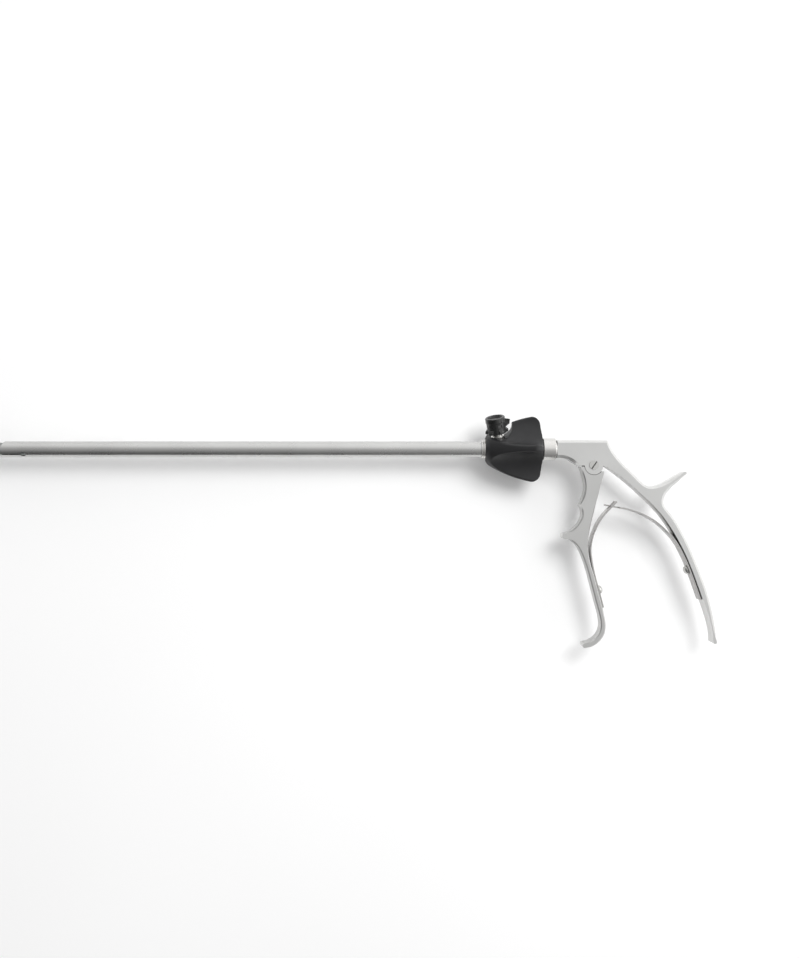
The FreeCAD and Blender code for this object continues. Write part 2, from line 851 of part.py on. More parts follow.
# Outlines of the handle and trigger, measured from the trigger's pivot
BACK_LINE = [(8.8, 15.6), (9.9, 12.7), (13.1, 7.1), (19.3, -0.2), (26.6, -7.3),
             (31.0, -11.5), (34.4, -13.0), (38.3, -12.8), (44.5, -10.4), (56.1, -4.0)]
SPUR_TIP = [(56.1, -4.0), (57.3, -4.4), (57.0, -5.8)]
BACK_OF_PALM = [(57.0, -5.8), (50.7, -11.7), (45.7, -16.6), (43.5, -21.0), (43.8, -24.8),
                (47.4, -29.7), (53.5, -39.0), (59.7, -51.2), (64.6, -63.0), (69.6, -76.3),
                (73.1, -89.3), (75.2, -99.8), (76.0, -108.9)]
PALM_TIP = [(76.0, -108.9), (75.1, -110.9), (73.8, -109.7)]
FRONT_OF_PALM = [(73.8, -109.7), (71.5, -97.2), (66.9, -83.4), (60.15, -64.8), (56.6, -56.4),
                 (50.4, -44.6), (40.8, -30.4), (28.4, -17.8), (16.0, -7.2), (7.5, -1.0)]
THROAT = [(-9.5, -0.2), (-12.8, 1.8), (-16.0, 3.7), (-18.6, 4.5), (-22.7, 4.6)]

TRIGGER_FRONT = [(-8.3, -0.9), (-6.8, -5.4), (-5.5, -10.5), (-5.4, -15.5), (-6.9, -21.0), (-8.9, -24.8)]
FINGER_REST = [(-8.9, -24.8), (-7.3, -28.4), (-7.3, -32.0), (-9.5, -36.4), (-12.9, -39.9), (-18.7, -42.3)]
HOOK_TIP = [(-18.7, -42.3), (-19.6, -44.0), (-18.5, -45.7)]
BAR_FRONT = [(-18.5, -45.7), (-14.2, -46.9), (-10.7, -49.6), (-8.1, -53.8), (-5.4, -60.6),
             (-1.7, -73.6), (1.7, -86.7), (3.9, -95.3), (4.2, -100.2), (2.5, -105.3),
             (-1.1, -108.6), (-6.0, -110.4)]
LOWER_TIP = [(-6.0, -110.4), (-7.1, -112.0), (-5.8, -113.4)]
TRIGGER_BACK = [(-5.8, -113.4), (-1.3, -112.5), (4.1, -108.6), (7.1, -102.3), (6.3, -93.0),
                (5.35, -88.5), (2.6, -78.1), (-0.25, -67.4), (-2.5, -59.3), (-3.7, -50.5), (-2.9, -41.5),
                (0.2, -27.8), (3.6, -14.8), (6.2, -5.0)]
TRIGGER_SHOULDER = (6.2, -3.8)

# Middle lines of the two leaf springs, measured from the trigger's pivot
FRONT_LEAF = [(5.9, -88.4), (3.15, -77.9), (0.3, -67.2), (-1.5, -57.6), (-1.85, -51.8),
              (-0.8, -45.3), (1.4, -39.2), (4.6, -33.5), (8.3, -28.9), (12.1, -25.0), (14.4, -22.6)]
REAR_LEAF = [(66.35, -83.6), (59.65, -65.0), (56.1, -56.65), (50.9, -47.3), (46.2, -41.9), (42.7, -38.4),
             (38.3, -34.9), (31.3, -31.0), (26.0, -28.8), (20.7, -27.2), (13.7, -26.0), (7.2, -24.7)]


def inset_run(points, amount, first, last):
    """Move a clockwise run of points inwards, less where an end fades out."""
    curve = Part.BSplineCurve()
    curve.interpolate([V(x, y, 0) for x, y in points])
    moved = []
    for index, (x, y) in enumerate(points):
        way = curve.tangent(curve.parameter(V(x, y, 0)))[0]
        share = 1.0
        if index == 0:
            share = first
        elif index == len(points) - 1:
            share = last
        moved.append((x + way.y * amount * share, y - way.x * amount * share))
    return moved


def handle_edges(inset):
    """Outline of the handle, drawn in by an amount except at its tips and lobe."""
    lobe = size("lobe_radius").value
    lobe_right = (math.sqrt(lobe ** 2 - 0.2 ** 2), -0.2)
    lobe_left = (-lobe_right[0], -0.2)
    front = handle_front_x.value
    top = size("neck_top").value
    back = inset_run(from_pivot(BACK_LINE), inset, 1, 0)
    back[0] = (from_pivot(BACK_LINE)[0][0] - inset * 0.6, top - inset)
    palm = inset_run(from_pivot(BACK_OF_PALM), inset, 0, 0)
    inner = inset_run(from_pivot(FRONT_OF_PALM), inset * 0.4, 0, 0)
    throat = inset_run(from_pivot(THROAT), inset, 0, 1)
    throat[-1] = (front, from_pivot(THROAT)[-1][1] + inset)
    return [
        line((front, top - inset), back[0]),
        spline(back),
        bow(*from_pivot(SPUR_TIP)),
        spline(palm),
        bow(*from_pivot(PALM_TIP)),
        spline(inner),
        line(*from_pivot([FRONT_OF_PALM[-1], lobe_right])),
        bow(*from_pivot([lobe_right, (0, -lobe), lobe_left])),
        line(*from_pivot([lobe_left, THROAT[0]])),
        spline(throat),
        line(throat[-1], (front, top - inset)),
    ]


def flat_sided(name, edges_at, inset):
    """A plate whose long edges are bevelled on both flat sides."""
    body = new_body(name + "_forged")
    full = new_sketch(body, name + "_outline", "XY_Plane")
    edge_of = new_sketch(body, name + "_shoulder", "XY_Plane")
    face_of = new_sketch(body, name + "_face", "XY_Plane")
    for sketch, amount in ((full, 0.0), (edge_of, 0.0), (face_of, as_term(inset).value)):
        for edge in edges_at(amount):
            sketch.addGeometry(edge)
    shoulder = half_thick - inset
    edge_of.setExpression("AttachmentOffset.Base.z", shoulder.text)
    face_of.setExpression("AttachmentOffset.Base.z", half_thick.text)
    grow(body, name + "_plate", full, shoulder * 2)
    bevel = body.newObject("PartDesign::AdditiveLoft", name + "_bevel")
    bevel.Profile = edge_of
    bevel.Sections = [face_of]
    bevel.Ruled = True
    other = body.newObject("PartDesign::Mirrored", name + "_other_bevel")
    other.Originals = [bevel]
    other.MirrorPlane = (origin_plane(body, "XY_Plane"), [""])
    body.Tip = other
    return body


def make_handle_body():
    """Neck, pivot cheeks, spur and palm grip in one forging."""
    body = flat_sided("handle", handle_edges, size("edge_bevel"))
    slot = [
        (pivot_x - 4.1, pivot_y),
        (pivot_x - 4.1, 1.9),
        (pivot_x + 4.3, 1.9),
        (pivot_x + 4.3, pivot_y),
    ]
    cut_through(body, "fork_slot", "XY_Plane", slot, slot_half * 2)
    round_sketch = new_sketch(body, "cheek_slot_outline", "XY_Plane")
    draw_round(round_sketch, (pivot_x, pivot_y), size("lobe_radius") + 0.5)
    cheeks = body.newObject("PartDesign::Pocket", "cheek_slot")
    cheeks.Profile = round_sketch
    cheeks.SideType = "Symmetric"
    cheeks.setExpression("Length", (slot_half * 2).text)
    hole_sketch = new_sketch(body, "pivot_hole_outline", "XY_Plane")
    draw_round(hole_sketch, (pivot_x, pivot_y), size("pivot_dia") / 2 + 0.02)
    hole = body.newObject("PartDesign::Pocket", "pivot_hole")
    hole.Profile = hole_sketch
    hole.SideType = "Symmetric"
    hole.setExpression("Length", (size("handle_thick") * 2).text)
    spigot_x = handle_front_x - size("spigot_len")
    spigot = cylinder("handle_spigot", size("spigot_dia") / 2, size("spigot_len"), along(spigot_x))
    solid = fused("handle_solid", [body, spigot])
    bore = cylinder("handle_bore", handle_bore_r, bore_end_x - spigot_x + 1, along(spigot_x - 1))
    neck = cylinder("handle_rod_hole", rod_r + size("run_gap"), 10, along(bore_end_x - 1))
    flange_x = rod_end_x - size("rod_flange_len") - 0.1
    plug = cylinder("handle_plug_hole", size("plug_dia") / 2, 15, along(flange_x))
    head = cylinder("handle_screw_seat", size("pivot_head_dia") / 2 + 0.02, 3,
                    along(pivot_x, pivot_y, half_thick - 0.6), Z_AXIS)
    seat = leaf_screw_hole("handle_spring_hole", REAR_LEAF, -1)
    cutters = fused("handle_cutters", [bore, neck, plug, head, seat])
    return keep(without("handle_body", solid, cutters), "handle_body")


def trigger_edges(inset):
    """Outline of the trigger, drawn in by an amount except at its tips."""
    gap_r = size("lobe_radius").value + size("lobe_gap").value
    right_y = TRIGGER_SHOULDER[1]
    left_y = TRIGGER_FRONT[0][1]
    right = (math.sqrt(gap_r ** 2 - right_y ** 2), right_y)
    left = (-math.sqrt(gap_r ** 2 - left_y ** 2), left_y)
    front = inset_run(from_pivot(TRIGGER_FRONT), -inset, 0, 0)
    rest = inset_run(from_pivot(FINGER_REST), -inset, 0, 0)
    bar = inset_run(from_pivot(BAR_FRONT), -inset, 0, 0)
    back = inset_run(from_pivot(TRIGGER_BACK), -inset, 0, 0)
    return [
        spline(front),
        spline(rest),
        bow(*from_pivot(HOOK_TIP)),
        spline(bar),
        bow(*from_pivot(LOWER_TIP)),
        spline(back),
        line(*from_pivot([TRIGGER_BACK[-1], TRIGGER_SHOULDER])),
        line(*from_pivot([TRIGGER_SHOULDER, right])),
        bow(*from_pivot([right, (0, -gap_r), left])),
        line(*from_pivot([left, TRIGGER_FRONT[0]])),
    ]


def make_trigger():
    """Finger lever: grip, tongue between the cheeks and fork on the sleeve."""
    body = flat_sided("trigger", trigger_edges, size("trigger_bevel"))
    pivot = along(pivot_x, pivot_y)
    low = V(0, 0, -SIZES["tongue_thick"] / 2)
    thick = size("tongue_thick")
    disc = cylinder("tongue_disc", size("tongue_radius"), thick, pivot + low, Z_AXIS)
    head_at = V(yoke_x.value, pivot.y + SIZES["lever_len"] * math.cos(math.radians(SIZES["half_stroke"])), 0)
    head = cylinder("fork_head", size("fork_head_dia") / 2, thick, head_at + low, Z_AXIS)
    lean = FreeCAD.Rotation(Z_AXIS, -SIZES["half_stroke"])
    half_neck = size("fork_neck_width").value / 2
    neck = block("fork_neck", size("fork_neck_width"), size("lever_len"), thick,
                 pivot + low + lean.multVec(V(-half_neck, 0, 0)), lean)
    half_root = 2.2
    root = block("fork_root", half_root * 2, size("lever_len") - sleeve_r - 0.9, thick,
                 pivot + low + lean.multVec(V(-half_root, 0, 0)), lean)
    web = block("tongue_web", size("tongue_radius") * 1.6, 6.0, thick,
                pivot + low + V(-SIZES["tongue_radius"] * 0.8, -8.0, 0))
    solid = fused("trigger_solid", [body, disc, head, neck, root, web])
    fork_gap = size("groove_core_dia") / 2 + 0.3
    slot = block("fork_gap", 12, size("lever_len"), fork_gap * 2,
                 pivot + V(0, 0, -fork_gap.value) + lean.multVec(V(-6, SIZES["lever_len"] - 2.9, 0)), lean)
    bush = cylinder("bush_hole", size("bush_dia") / 2, thick * 2, pivot + low * 2, Z_AXIS)
    screw = leaf_screw_hole("trigger_spring_hole", FRONT_LEAF, 1)
    cutters = fused("trigger_cutters", [slot, bush, screw])
    return keep(without("trigger", solid, cutters), "trigger")


def make_pivot_bush():
    """Bush pressed into the trigger's tongue."""
    thick = size("tongue_thick") - 0.02
    base = along(pivot_x, pivot_y, -thick / 2)
    ring = cylinder("bush_outside", size("bush_dia") / 2, thick, base, Z_AXIS)
    hole = cylinder("bush_inside", size("pivot_dia") / 2 + 0.05, thick + 2, base - Z_AXIS, Z_AXIS)
    return keep(without("pivot_bush", ring, hole), "pivot_bush")


def make_pivot_screw():
    """Slotted screw through both cheeks."""
    seat = half_thick - 0.6
    base = along(pivot_x, pivot_y, -half_thick + 0.1)
    shank = cylinder("pivot_shank", size("pivot_dia") / 2, half_thick + seat - 0.1, base, Z_AXIS)
    head_at = along(pivot_x, pivot_y, seat)
    head = cylinder("pivot_head", size("pivot_head_dia") / 2, size("pivot_head_len"), head_at, Z_AXIS)
    turn_by = FreeCAD.Rotation(Z_AXIS, 55)
    slot_at = along(pivot_x, pivot_y, seat + size("pivot_head_len") - 0.6)
    slot_at = slot_at + turn_by.multVec(V(-4, -0.4, 0))
    slot = block("pivot_slot", 8, 0.8, 1, slot_at, turn_by)
    return keep(without("pivot_screw", fused("pivot_turned", [shank, head]), slot), "pivot_screw")


def make_rod_plug():
    """Slotted plug that holds the rod's flange in the handle."""
    start = rod_end_x + 0.1
    plug = cylinder("plug_round", size("plug_dia") / 2 - 0.01, 1.9, along(start))
    slot = block("plug_slot", 1, 0.8, size("plug_dia") + 2, along(start + 1.3, -0.4, -size("plug_dia") / 2 - 1))
    return keep(without("rod_plug", plug, slot), "rod_plug")


# Leaf springs
def leaf_point(leaf, at=1):
    """A point on a leaf's middle line, its way and its left normal; the screw is at the second."""
    points = from_pivot(leaf)
    before = V(*points[at - 1], 0)
    here = V(*points[at], 0)
    after = V(*points[at + 1], 0)
    way = (after - before).normalize()
    return here, way, V(-way.y, way.x, 0)


def leaf_outline(leaf):
    """Two smooth sides at half the leaf's thickness from its middle line."""
    points = from_pivot(leaf)
    middle = Part.BSplineCurve()
    middle.interpolate([V(x, y, 0) for x, y in points])
    half = size("leaf_thick").value / 2
    left = []
    right = []
    for x, y in points:
        where = middle.parameter(V(x, y, 0))
        way = middle.tangent(where)[0]
        normal = V(-way.y, way.x, 0)
        left.append((x + normal.x * half, y + normal.y * half))
        right.append((x - normal.x * half, y - normal.y * half))
    right.reverse()
    return [spline(left), line(left[-1], right[0]), spline(right), line(right[-1], left[0])]


def leaf_screw_hole(name, leaf, side):
    """Hole for a spring's screw, through the leaf and into what carries it."""
    here, _, normal = leaf_point(leaf)
    out = normal * -side
    depth = size("leaf_screw_depth") + size("leaf_thick") / 2
    start = here - out * depth.value
    return cylinder(name, size("leaf_screw_dia") / 2 + 0.02, depth + 3, start, out)


def make_leaf(name, leaf, side):
    """Leaf of one width with a hole for its screw."""
    body = new_body(name + "_plate")
    sketch = new_sketch(body, name + "_outline", "XY_Plane")
    for edge in leaf_outline(leaf):
        sketch.addGeometry(edge)
    grow(body, name + "_pad", sketch, size("leaf_width"))
    return body, leaf_screw_hole(name + "_hole", leaf, side)


def make_front_spring():
    """Leaf on the trigger, forked at its tip."""
    body, hole = make_leaf("front_leaf", FRONT_LEAF, 1)
    tip = V(*from_pivot(FRONT_LEAF)[-1], 0)
    _, way, _ = leaf_point(FRONT_LEAF, -2)
    turn_by = FreeCAD.Rotation(X_AXIS, way)
    slot_len = size("fork_slot_len")
    slot_wide = size("fork_slot_width")
    corner = tip + turn_by.multVec(V(-slot_len.value, -3, 0)) - Z_AXIS * slot_wide.value / 2
    slot = block("front_leaf_slot", slot_len + 2, 6, slot_wide, corner, turn_by)
    cutters = fused("front_leaf_cutters", [hole, slot])
    return keep(without("front_spring", body, cutters), "front_spring")


def make_rear_spring():
    """Leaf on the palm grip, narrowed to a tongue that passes the fork."""
    body, hole = make_leaf("rear_leaf", REAR_LEAF, -1)
    tip = V(*from_pivot(REAR_LEAF)[-1], 0)
    _, way, _ = leaf_point(REAR_LEAF, -3)
    turn_by = FreeCAD.Rotation(X_AXIS, way)
    cutters = [hole]
    side = (size("leaf_width") - size("tongue_width")) / 2
    for number, sign in enumerate((-1, 1)):
        low = size("tongue_width") / 2 if sign > 0 else -size("tongue_width") / 2 - side - 1
        corner = tip + turn_by.multVec(V(-SIZES["tongue_len"], -6, 0)) + Z_AXIS * as_term(low).value
        cutters.append(block("rear_leaf_side_%d" % (number + 1), size("tongue_len") + 4, 12, side + 1,
                             corner, turn_by))
    return keep(without("rear_spring", body, fused("rear_leaf_cutters", cutters)), "rear_spring")


def make_leaf_screw(name, leaf, side):
    """Domed screw that holds a spring."""
    here, _, normal = leaf_point(leaf)
    out = normal * -side
    body = new_body(name)
    shank = size("leaf_screw_dia") / 2
    head = size("leaf_head_dia") / 2
    seat = size("leaf_thick") / 2 + 0.08
    profile = [
        (0, -size("leaf_screw_depth") - seat + 0.1),
        (shank, -size("leaf_screw_depth") - seat + 0.1),
        (shank, seat),
        (head, seat),
        (head, seat + 0.5, 3.2),
        (0.6, seat + size("leaf_head_len")),
        (0, seat + size("leaf_head_len")),
    ]
    spin_upright(body, name + "_turned", profile)
    body.Placement = FreeCAD.Placement(here, FreeCAD.Rotation(Z_AXIS, out))
    return keep(body, name)


# Jaws, measured from the tip along the shaft
UPPER_JAW = [(0.0, 2.1), (0.5, 3.75), (1.2, 4.05), (7.3, 3.5), (11.8, 2.95), (16.3, 2.75), (19.6, 2.95),
             (21.9, 3.5), (24.1, 4.2), (27.5, 4.7), (28.7, 4.75), (29.0, 3.95), (32.2, 3.7),
             (32.2, 1.0), (28.6, 2.1), (25.0, 1.25), (22.2, 0.5), (20.7, -1.25), (19.8, -1.2),
             (16.3, -0.63), (11.8, 0.05), (5.1, 0.93), (0.5, 1.6)]
LOWER_JAW_TOP = [(0.0, -2.5), (0.5, -2.0), (7.3, -2.3), (14.0, -2.45), (21.3, -2.45), (21.9, -2.0),
                 (22.3, -0.8), (25.0, 0.3), (28.3, 1.2), (28.9, 3.5)]
LOWER_JAW_FOOT = [(24.3, -4.9), (14.0, -4.9), (7.3, -4.6), (1.2, -4.2), (0.4, -3.7)]


def jaw_plate(name, outline):
    """Side outline of a jaw, padded to its width."""
    body = new_body(name)
    corners = [(tip_x + x, y) for x, y in outline]
    pad(body, name + "_pad", "XY_Plane", corners, size("jaw_width"))
    return body


def jaw_plan(name):
    """Plan outline of the jaws, narrow at the tip and rounded there."""
    body = new_body(name)
    half = size("jaw_width") / 2
    tip_half = size("jaw_tip_width") / 2
    rear = size("mouth_setback") + size("jaw_plan_over")
    corners = [
        (tip_x, -tip_half + 0.7),
        (tip_x + 0.7, -tip_half),
        (tip_x + 9, -half),
        (tip_x + rear, -half),
        (tip_x + rear, half),
        (tip_x + 9, half),
        (tip_x + 0.7, tip_half),
        (tip_x, tip_half - 0.7),
    ]
    pad(body, name + "_pad", "XZ_Plane", corners, size("tube_dia") * 1.2)
    return body


def jaw_round(name):
    """Round bar that keeps the jaws inside the tube's outside."""
    length = size("mouth_setback") + size("jaw_plan_over") + 2
    return cylinder(name, tube_r - 0.2, length, along(tip_x - 1))


def jaw_groove(name, start, end, out):
    """Channel for a clip's leg along a jaw's inner face."""
    begin = along(tip_x + start[0], start[1])
    finish = along(tip_x + end[0], end[1])
    way = (finish - begin).normalize()
    normal = V(-way.y, way.x, 0)
    depth = size("jaw_groove_depth").value
    width = size("jaw_groove_width")
    turn_by = FreeCAD.Rotation(X_AXIS, way)
    lift = -depth if out < 0 else -2 + depth
    corner = begin + normal * lift - Z_AXIS * width.value / 2
    return block(name, (finish - begin).Length, 2, width, corner, turn_by)


def make_moving_jaw():
    """Upper jaw with its cam hump and the eye on the jaw pin."""
    plate = jaw_plate("moving_jaw_plate", UPPER_JAW)
    plan = jaw_plan("moving_jaw_plan")
    outside = jaw_round("moving_jaw_round")
    form = shared("moving_jaw_form", [plate, plan, outside])
    pin = along(tip_x + size("jaw_pin_setback"), size("jaw_pin_height"))
    sides = []
    tongue_half = size("jaw_tongue") / 2
    for number, low in enumerate((-5 - tongue_half.value, tongue_half.value)):
        corner = along(tip_x + size("jaw_slot_setback") + 0.2, -size("tube_dia") * 0.6, low)
        side_len = size("jaw_slot_len") + 3
        sides.append(block("moving_jaw_side_%d" % (number + 1), side_len, size("tube_dia") * 1.2, 5, corner))
    eye = cylinder("moving_jaw_eye", 1.75, size("jaw_tongue"), pin - Z_AXIS * tongue_half.value, Z_AXIS)
    hole = cylinder("moving_jaw_hole", size("jaw_pin_dia") / 2 + size("jaw_gap"), 10, pin - Z_AXIS * 5, Z_AXIS)
    groove = jaw_groove("moving_jaw_groove", (-1, 1.85), (size("jaw_groove_len"), -0.87), 1)
    slimmed = without("moving_jaw_slim", form, fused("moving_jaw_sides", sides))
    whole = fused("moving_jaw_whole", [slimmed, eye])
    cutters = fused("moving_jaw_cutters", [hole, groove])
    return keep(without("moving_jaw", whole, cutters), "moving_jaw")


def make_fixed_jaw():
    """Lower jaw in one piece with the stem that sits in the tube."""
    root = size("mouth_setback") + size("jaw_root")
    shoulder = size("jaw_shoulder")
    rear_end = [(root, 3.5), (root, -4.25), (shoulder, -4.25)]
    plate = jaw_plate("fixed_jaw_plate", LOWER_JAW_TOP + rear_end + LOWER_JAW_FOOT)
    plan = jaw_plan("fixed_jaw_plan")
    form = shared("fixed_jaw_form", [plate, plan, jaw_round("fixed_jaw_round")])
    stem_r = tube_bore_r - size("run_gap")
    stem_x = mouth_x + size("stem_start")
    stem_end = stem_x + size("stem_len")
    stem = cylinder("fixed_jaw_stem", stem_r, size("stem_len"), along(stem_x))
    inside = cylinder("fixed_jaw_inside", stem_r, stem_end - tip_x - shoulder, along(tip_x + shoulder))
    wide = size("tube_dia") * 1.2
    front_form = block("fixed_jaw_front", shoulder + 1, wide, wide, along(tip_x - 1, -wide / 2, -wide / 2))
    allowed = fused("fixed_jaw_allowed", [inside, front_form])
    body = shared("fixed_jaw_trimmed", [fused("fixed_jaw_whole", [form, stem]), allowed])
    slot_half_z = size("jaw_tongue").value / 2 + 0.1
    slot_at = along(tip_x + size("jaw_slot_setback"), -0.2, -slot_half_z)
    slot = block("fixed_jaw_slot", size("jaw_slot_len"), wide, slot_half_z * 2, slot_at)
    pin = along(tip_x + size("jaw_pin_setback"), size("jaw_pin_height"))
    hole = cylinder("fixed_jaw_hole", size("jaw_pin_dia") / 2 + 0.01, wide, pin - Z_AXIS * wide.value / 2, Z_AXIS)
    rod_x = stem_end - size("stem_start") - size("rod_in_stem")
    rod = cylinder("fixed_jaw_rod_hole", rod_r + 0.01, size("stem_len"), along(rod_x))
    key = cylinder("fixed_jaw_key_hole", size("key_pin_dia") / 2 + 0.01, 5,
                   along(tip_x + size("key_pin_setback")) + radial(-SIZES["key_angle"]) * 2.4,
                   radial(-SIZES["key_angle"]))
    groove = jaw_groove("fixed_jaw_groove", (-1, -2.05), (size("jaw_groove_len"), -2.45), -1)
    cutters = fused("fixed_jaw_cutters", [slot, hole, rod, key, groove])
    return keep(without("fixed_jaw", body, cutters), "fixed_jaw")


def make_jaw_pin():
    """Pin that the moving jaw turns on."""
    stem_r = tube_bore_r.value - SIZES["run_gap"]
    half = math.sqrt(stem_r ** 2 - (SIZES["jaw_pin_height"] + SIZES["jaw_pin_dia"] / 2) ** 2) - 0.05
    pin = along(tip_x + size("jaw_pin_setback"), size("jaw_pin_height"), -half)
    return keep(cylinder("jaw_pin", size("jaw_pin_dia") / 2, half * 2, pin, Z_AXIS), "jaw_pin")


def make_key_pin():
    """Pin in the stem that runs in the tube's key slot."""
    way = radial(-SIZES["key_angle"])
    start = along(tip_x + size("key_pin_setback")) + way * 2.45
    return keep(cylinder("key_pin", size("key_pin_dia") / 2, tube_r - 2.55, start, way), "key_pin")


def make_rod_seal():
    """Sealing ring in front of the sleeve, round the rod."""
    section = 0.7
    at = tube_tail_x - size("plug_len") - section - 0.05
    ring = torus("rod_seal", rod_r + 0.05 + section, section, along(at))
    return keep(ring, "rod_seal")


def build():
    """Make every sub-part."""
    make_outer_tube()
    make_drive_sleeve()
    make_rod_seal()
    make_inner_rod()
    make_front_ring()
    make_front_seal()
    make_knob_core()
    make_rotation_knob()
    make_drive_key_screw()
    make_flush_port()
    make_port_gasket()
    make_cap_seal()
    make_port_cap()
    make_shaft_collar()
    make_journal_clip()
    make_handle_body()
    make_trigger()
    make_pivot_bush()
    make_pivot_screw()
    make_rod_plug()
    make_front_spring()
    make_rear_spring()
    make_leaf_screw("front_spring_screw", FRONT_LEAF, 1)
    make_leaf_screw("rear_spring_screw", REAR_LEAF, -1)
    make_moving_jaw()
    make_fixed_jaw()
    make_jaw_pin()
    make_key_pin()


def check():
    """Stop if anything failed to build."""
    for thing in doc.Objects:
        if "Invalid" in thing.State or "Error" in thing.State:
            raise RuntimeError("%s failed: %s" % (thing.Name, thing.State))
    for node in nodes:
        if node.Shape.isNull() or not node.Shape.isValid():
            raise RuntimeError("%s has no valid shape" % node.Label)


def write():
    """Write one file a node."""
    os.makedirs("parts", exist_ok=True)
    for node in nodes:
        node.Shape.exportStep("parts/%s.step" % node.Label)
        box = node.Shape.BoundBox
        corners = (box.XMin, box.YMin, box.ZMin, box.XMax, box.YMax, box.ZMax)
        print(node.Label, len(node.Shape.Solids), round(node.Shape.Volume, 1), [round(c, 2) for c in corners])


build()
doc.recompute()
check()
write()
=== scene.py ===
"""Scene of a laparoscopic clip applier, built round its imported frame."""

import json
import logging
import math
from dataclasses import dataclass
from enum import Enum

import bpy
from mathutils import Matrix, Vector

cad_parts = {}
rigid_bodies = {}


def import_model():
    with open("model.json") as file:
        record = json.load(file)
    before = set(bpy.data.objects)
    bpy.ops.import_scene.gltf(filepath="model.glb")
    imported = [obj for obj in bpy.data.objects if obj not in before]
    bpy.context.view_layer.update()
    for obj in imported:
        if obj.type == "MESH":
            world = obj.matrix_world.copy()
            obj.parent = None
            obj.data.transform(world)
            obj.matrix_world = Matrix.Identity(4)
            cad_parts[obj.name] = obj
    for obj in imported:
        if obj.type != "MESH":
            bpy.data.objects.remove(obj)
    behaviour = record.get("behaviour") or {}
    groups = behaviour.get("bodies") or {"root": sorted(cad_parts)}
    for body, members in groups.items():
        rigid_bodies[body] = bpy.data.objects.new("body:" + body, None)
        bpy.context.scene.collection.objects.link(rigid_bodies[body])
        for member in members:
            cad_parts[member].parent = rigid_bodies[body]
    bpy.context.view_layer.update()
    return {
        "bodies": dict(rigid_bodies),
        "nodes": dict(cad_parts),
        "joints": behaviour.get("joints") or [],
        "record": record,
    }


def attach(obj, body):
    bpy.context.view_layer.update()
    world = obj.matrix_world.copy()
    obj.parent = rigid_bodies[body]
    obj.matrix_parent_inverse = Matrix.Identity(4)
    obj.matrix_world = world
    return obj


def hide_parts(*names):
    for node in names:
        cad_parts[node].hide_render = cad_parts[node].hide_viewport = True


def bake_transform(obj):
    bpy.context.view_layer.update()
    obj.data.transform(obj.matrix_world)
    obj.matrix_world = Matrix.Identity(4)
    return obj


LOG = logging.getLogger("clip_applier")
MM = 0.001
MERGE = 0.000001
SMOOTH_BELOW = math.radians(28.0)

Place = tuple[float, float, float]
Station = tuple[float, float]
Shape = bpy.types.Object


class Grain(Enum):
    """Fine marks that a finish leaves on steel."""

    BEAD = "bead"
    DRAWN = "drawn"
    TURNED = "turned"
    POLISHED = "polished"


class Way(Enum):
    """How a boolean cutter works on a piece."""

    CUT = "DIFFERENCE"
    JOIN = "UNION"


@dataclass(frozen=True)
class Steel:
    """One steel finish.

    Args:
        slot: the record's material slot.
        colour: linear base colour.
        roughness: lowest roughness.
        spread: how much rougher the roughest patches are.
        grain: the marks on its surface.
        depth: height of those marks in metres.
        stain: share by which the darkest patches lose brightness.
    """

    slot: str
    colour: Place
    roughness: float
    spread: float
    grain: Grain
    depth: float
    stain: float = 0.06

    def make(self) -> bpy.types.Material:
        """Make the material.

        Returns:
            The node material.
        """
        bench = NodeBench(self.slot)
        place = bench.coordinates()
        patches = bench.noise(place, STEEL_PATCHES, 3.0)
        dark = tuple(part * (1.0 - self.stain) for part in self.colour)
        bright = tuple(min(part * STEEL_SHINE, BRIGHTEST_STEEL) for part in self.colour)
        colour = bench.ramp(patches, dark, self.colour)
        # Edges: real wear plus a painted highlight, so the base colour is brighter there.
        worn_and_highlit = bench.mixed(bench.edges(STEEL_WEAR_AND_HIGHLIGHT), colour, bright)
        # Painted shade: the base colour goes dark in slots, corners and gaps between parts, where ambient
        # occlusion is low.
        bench.link(bench.mixed(bench.corners(PAINTED_SHADE_REACH), worn_and_highlit, PAINTED_SHADE), "Base Color")
        scale, detail = GRAIN_SIZE[self.grain]
        marks = bench.noise(bench.stretched(place, scale), 1.0, detail)
        blotches = bench.noise(place, STEEL_BLOTCHES, 2.0)
        rough = bench.span(blotches, self.roughness, self.roughness + self.spread)
        bench.link(rough, "Roughness")
        bench.bump(marks, self.depth)
        bench.set("Metallic", 1.0)
        return bench.material


# Colour of the painted shade in slots and corners, and how far that shade reaches.
PAINTED_SHADE: Place = (0.035, 0.033, 0.030)
PAINTED_SHADE_REACH = 0.002
STEEL_PATCHES = 45.0
STEEL_BLOTCHES = 90.0
# Edge brightening of steel, part wear and part painted highlight.
STEEL_SHINE = 1.18
BRIGHTEST_STEEL = 0.95
STEEL_WEAR_AND_HIGHLIGHT = 0.0005
PLASTIC_PATCHES = 70.0
PLASTIC_BLOTCHES = 240.0
PLASTIC_GRAIN = 4200.0
# Edge lightening of plastic, part wear and part painted highlight.
PLASTIC_RUBBED_AND_HIGHLIGHT = 4.0
PLASTIC_WEAR_AND_HIGHLIGHT = 0.0009
RAMP_STOPS: Station = (0.34, 0.66)
NOISE_SPAN: Station = (0.3, 0.7)
EDGE_LIKENESS: Station = (0.97, 0.75)
EDGE_SAMPLES = 4
CORNER_LIGHT: Station = (0.62, 0.15)
CORNER_SAMPLES = 6
GRAIN_SIZE: dict[Grain, tuple[Place, float]] = {
    Grain.BEAD: ((5200.0, 5200.0, 5200.0), 3.0),
    Grain.DRAWN: ((60.0, 3600.0, 3600.0), 2.0),
    Grain.TURNED: ((9000.0, 160.0, 160.0), 2.0),
    Grain.POLISHED: ((900.0, 900.0, 900.0), 2.0),
}


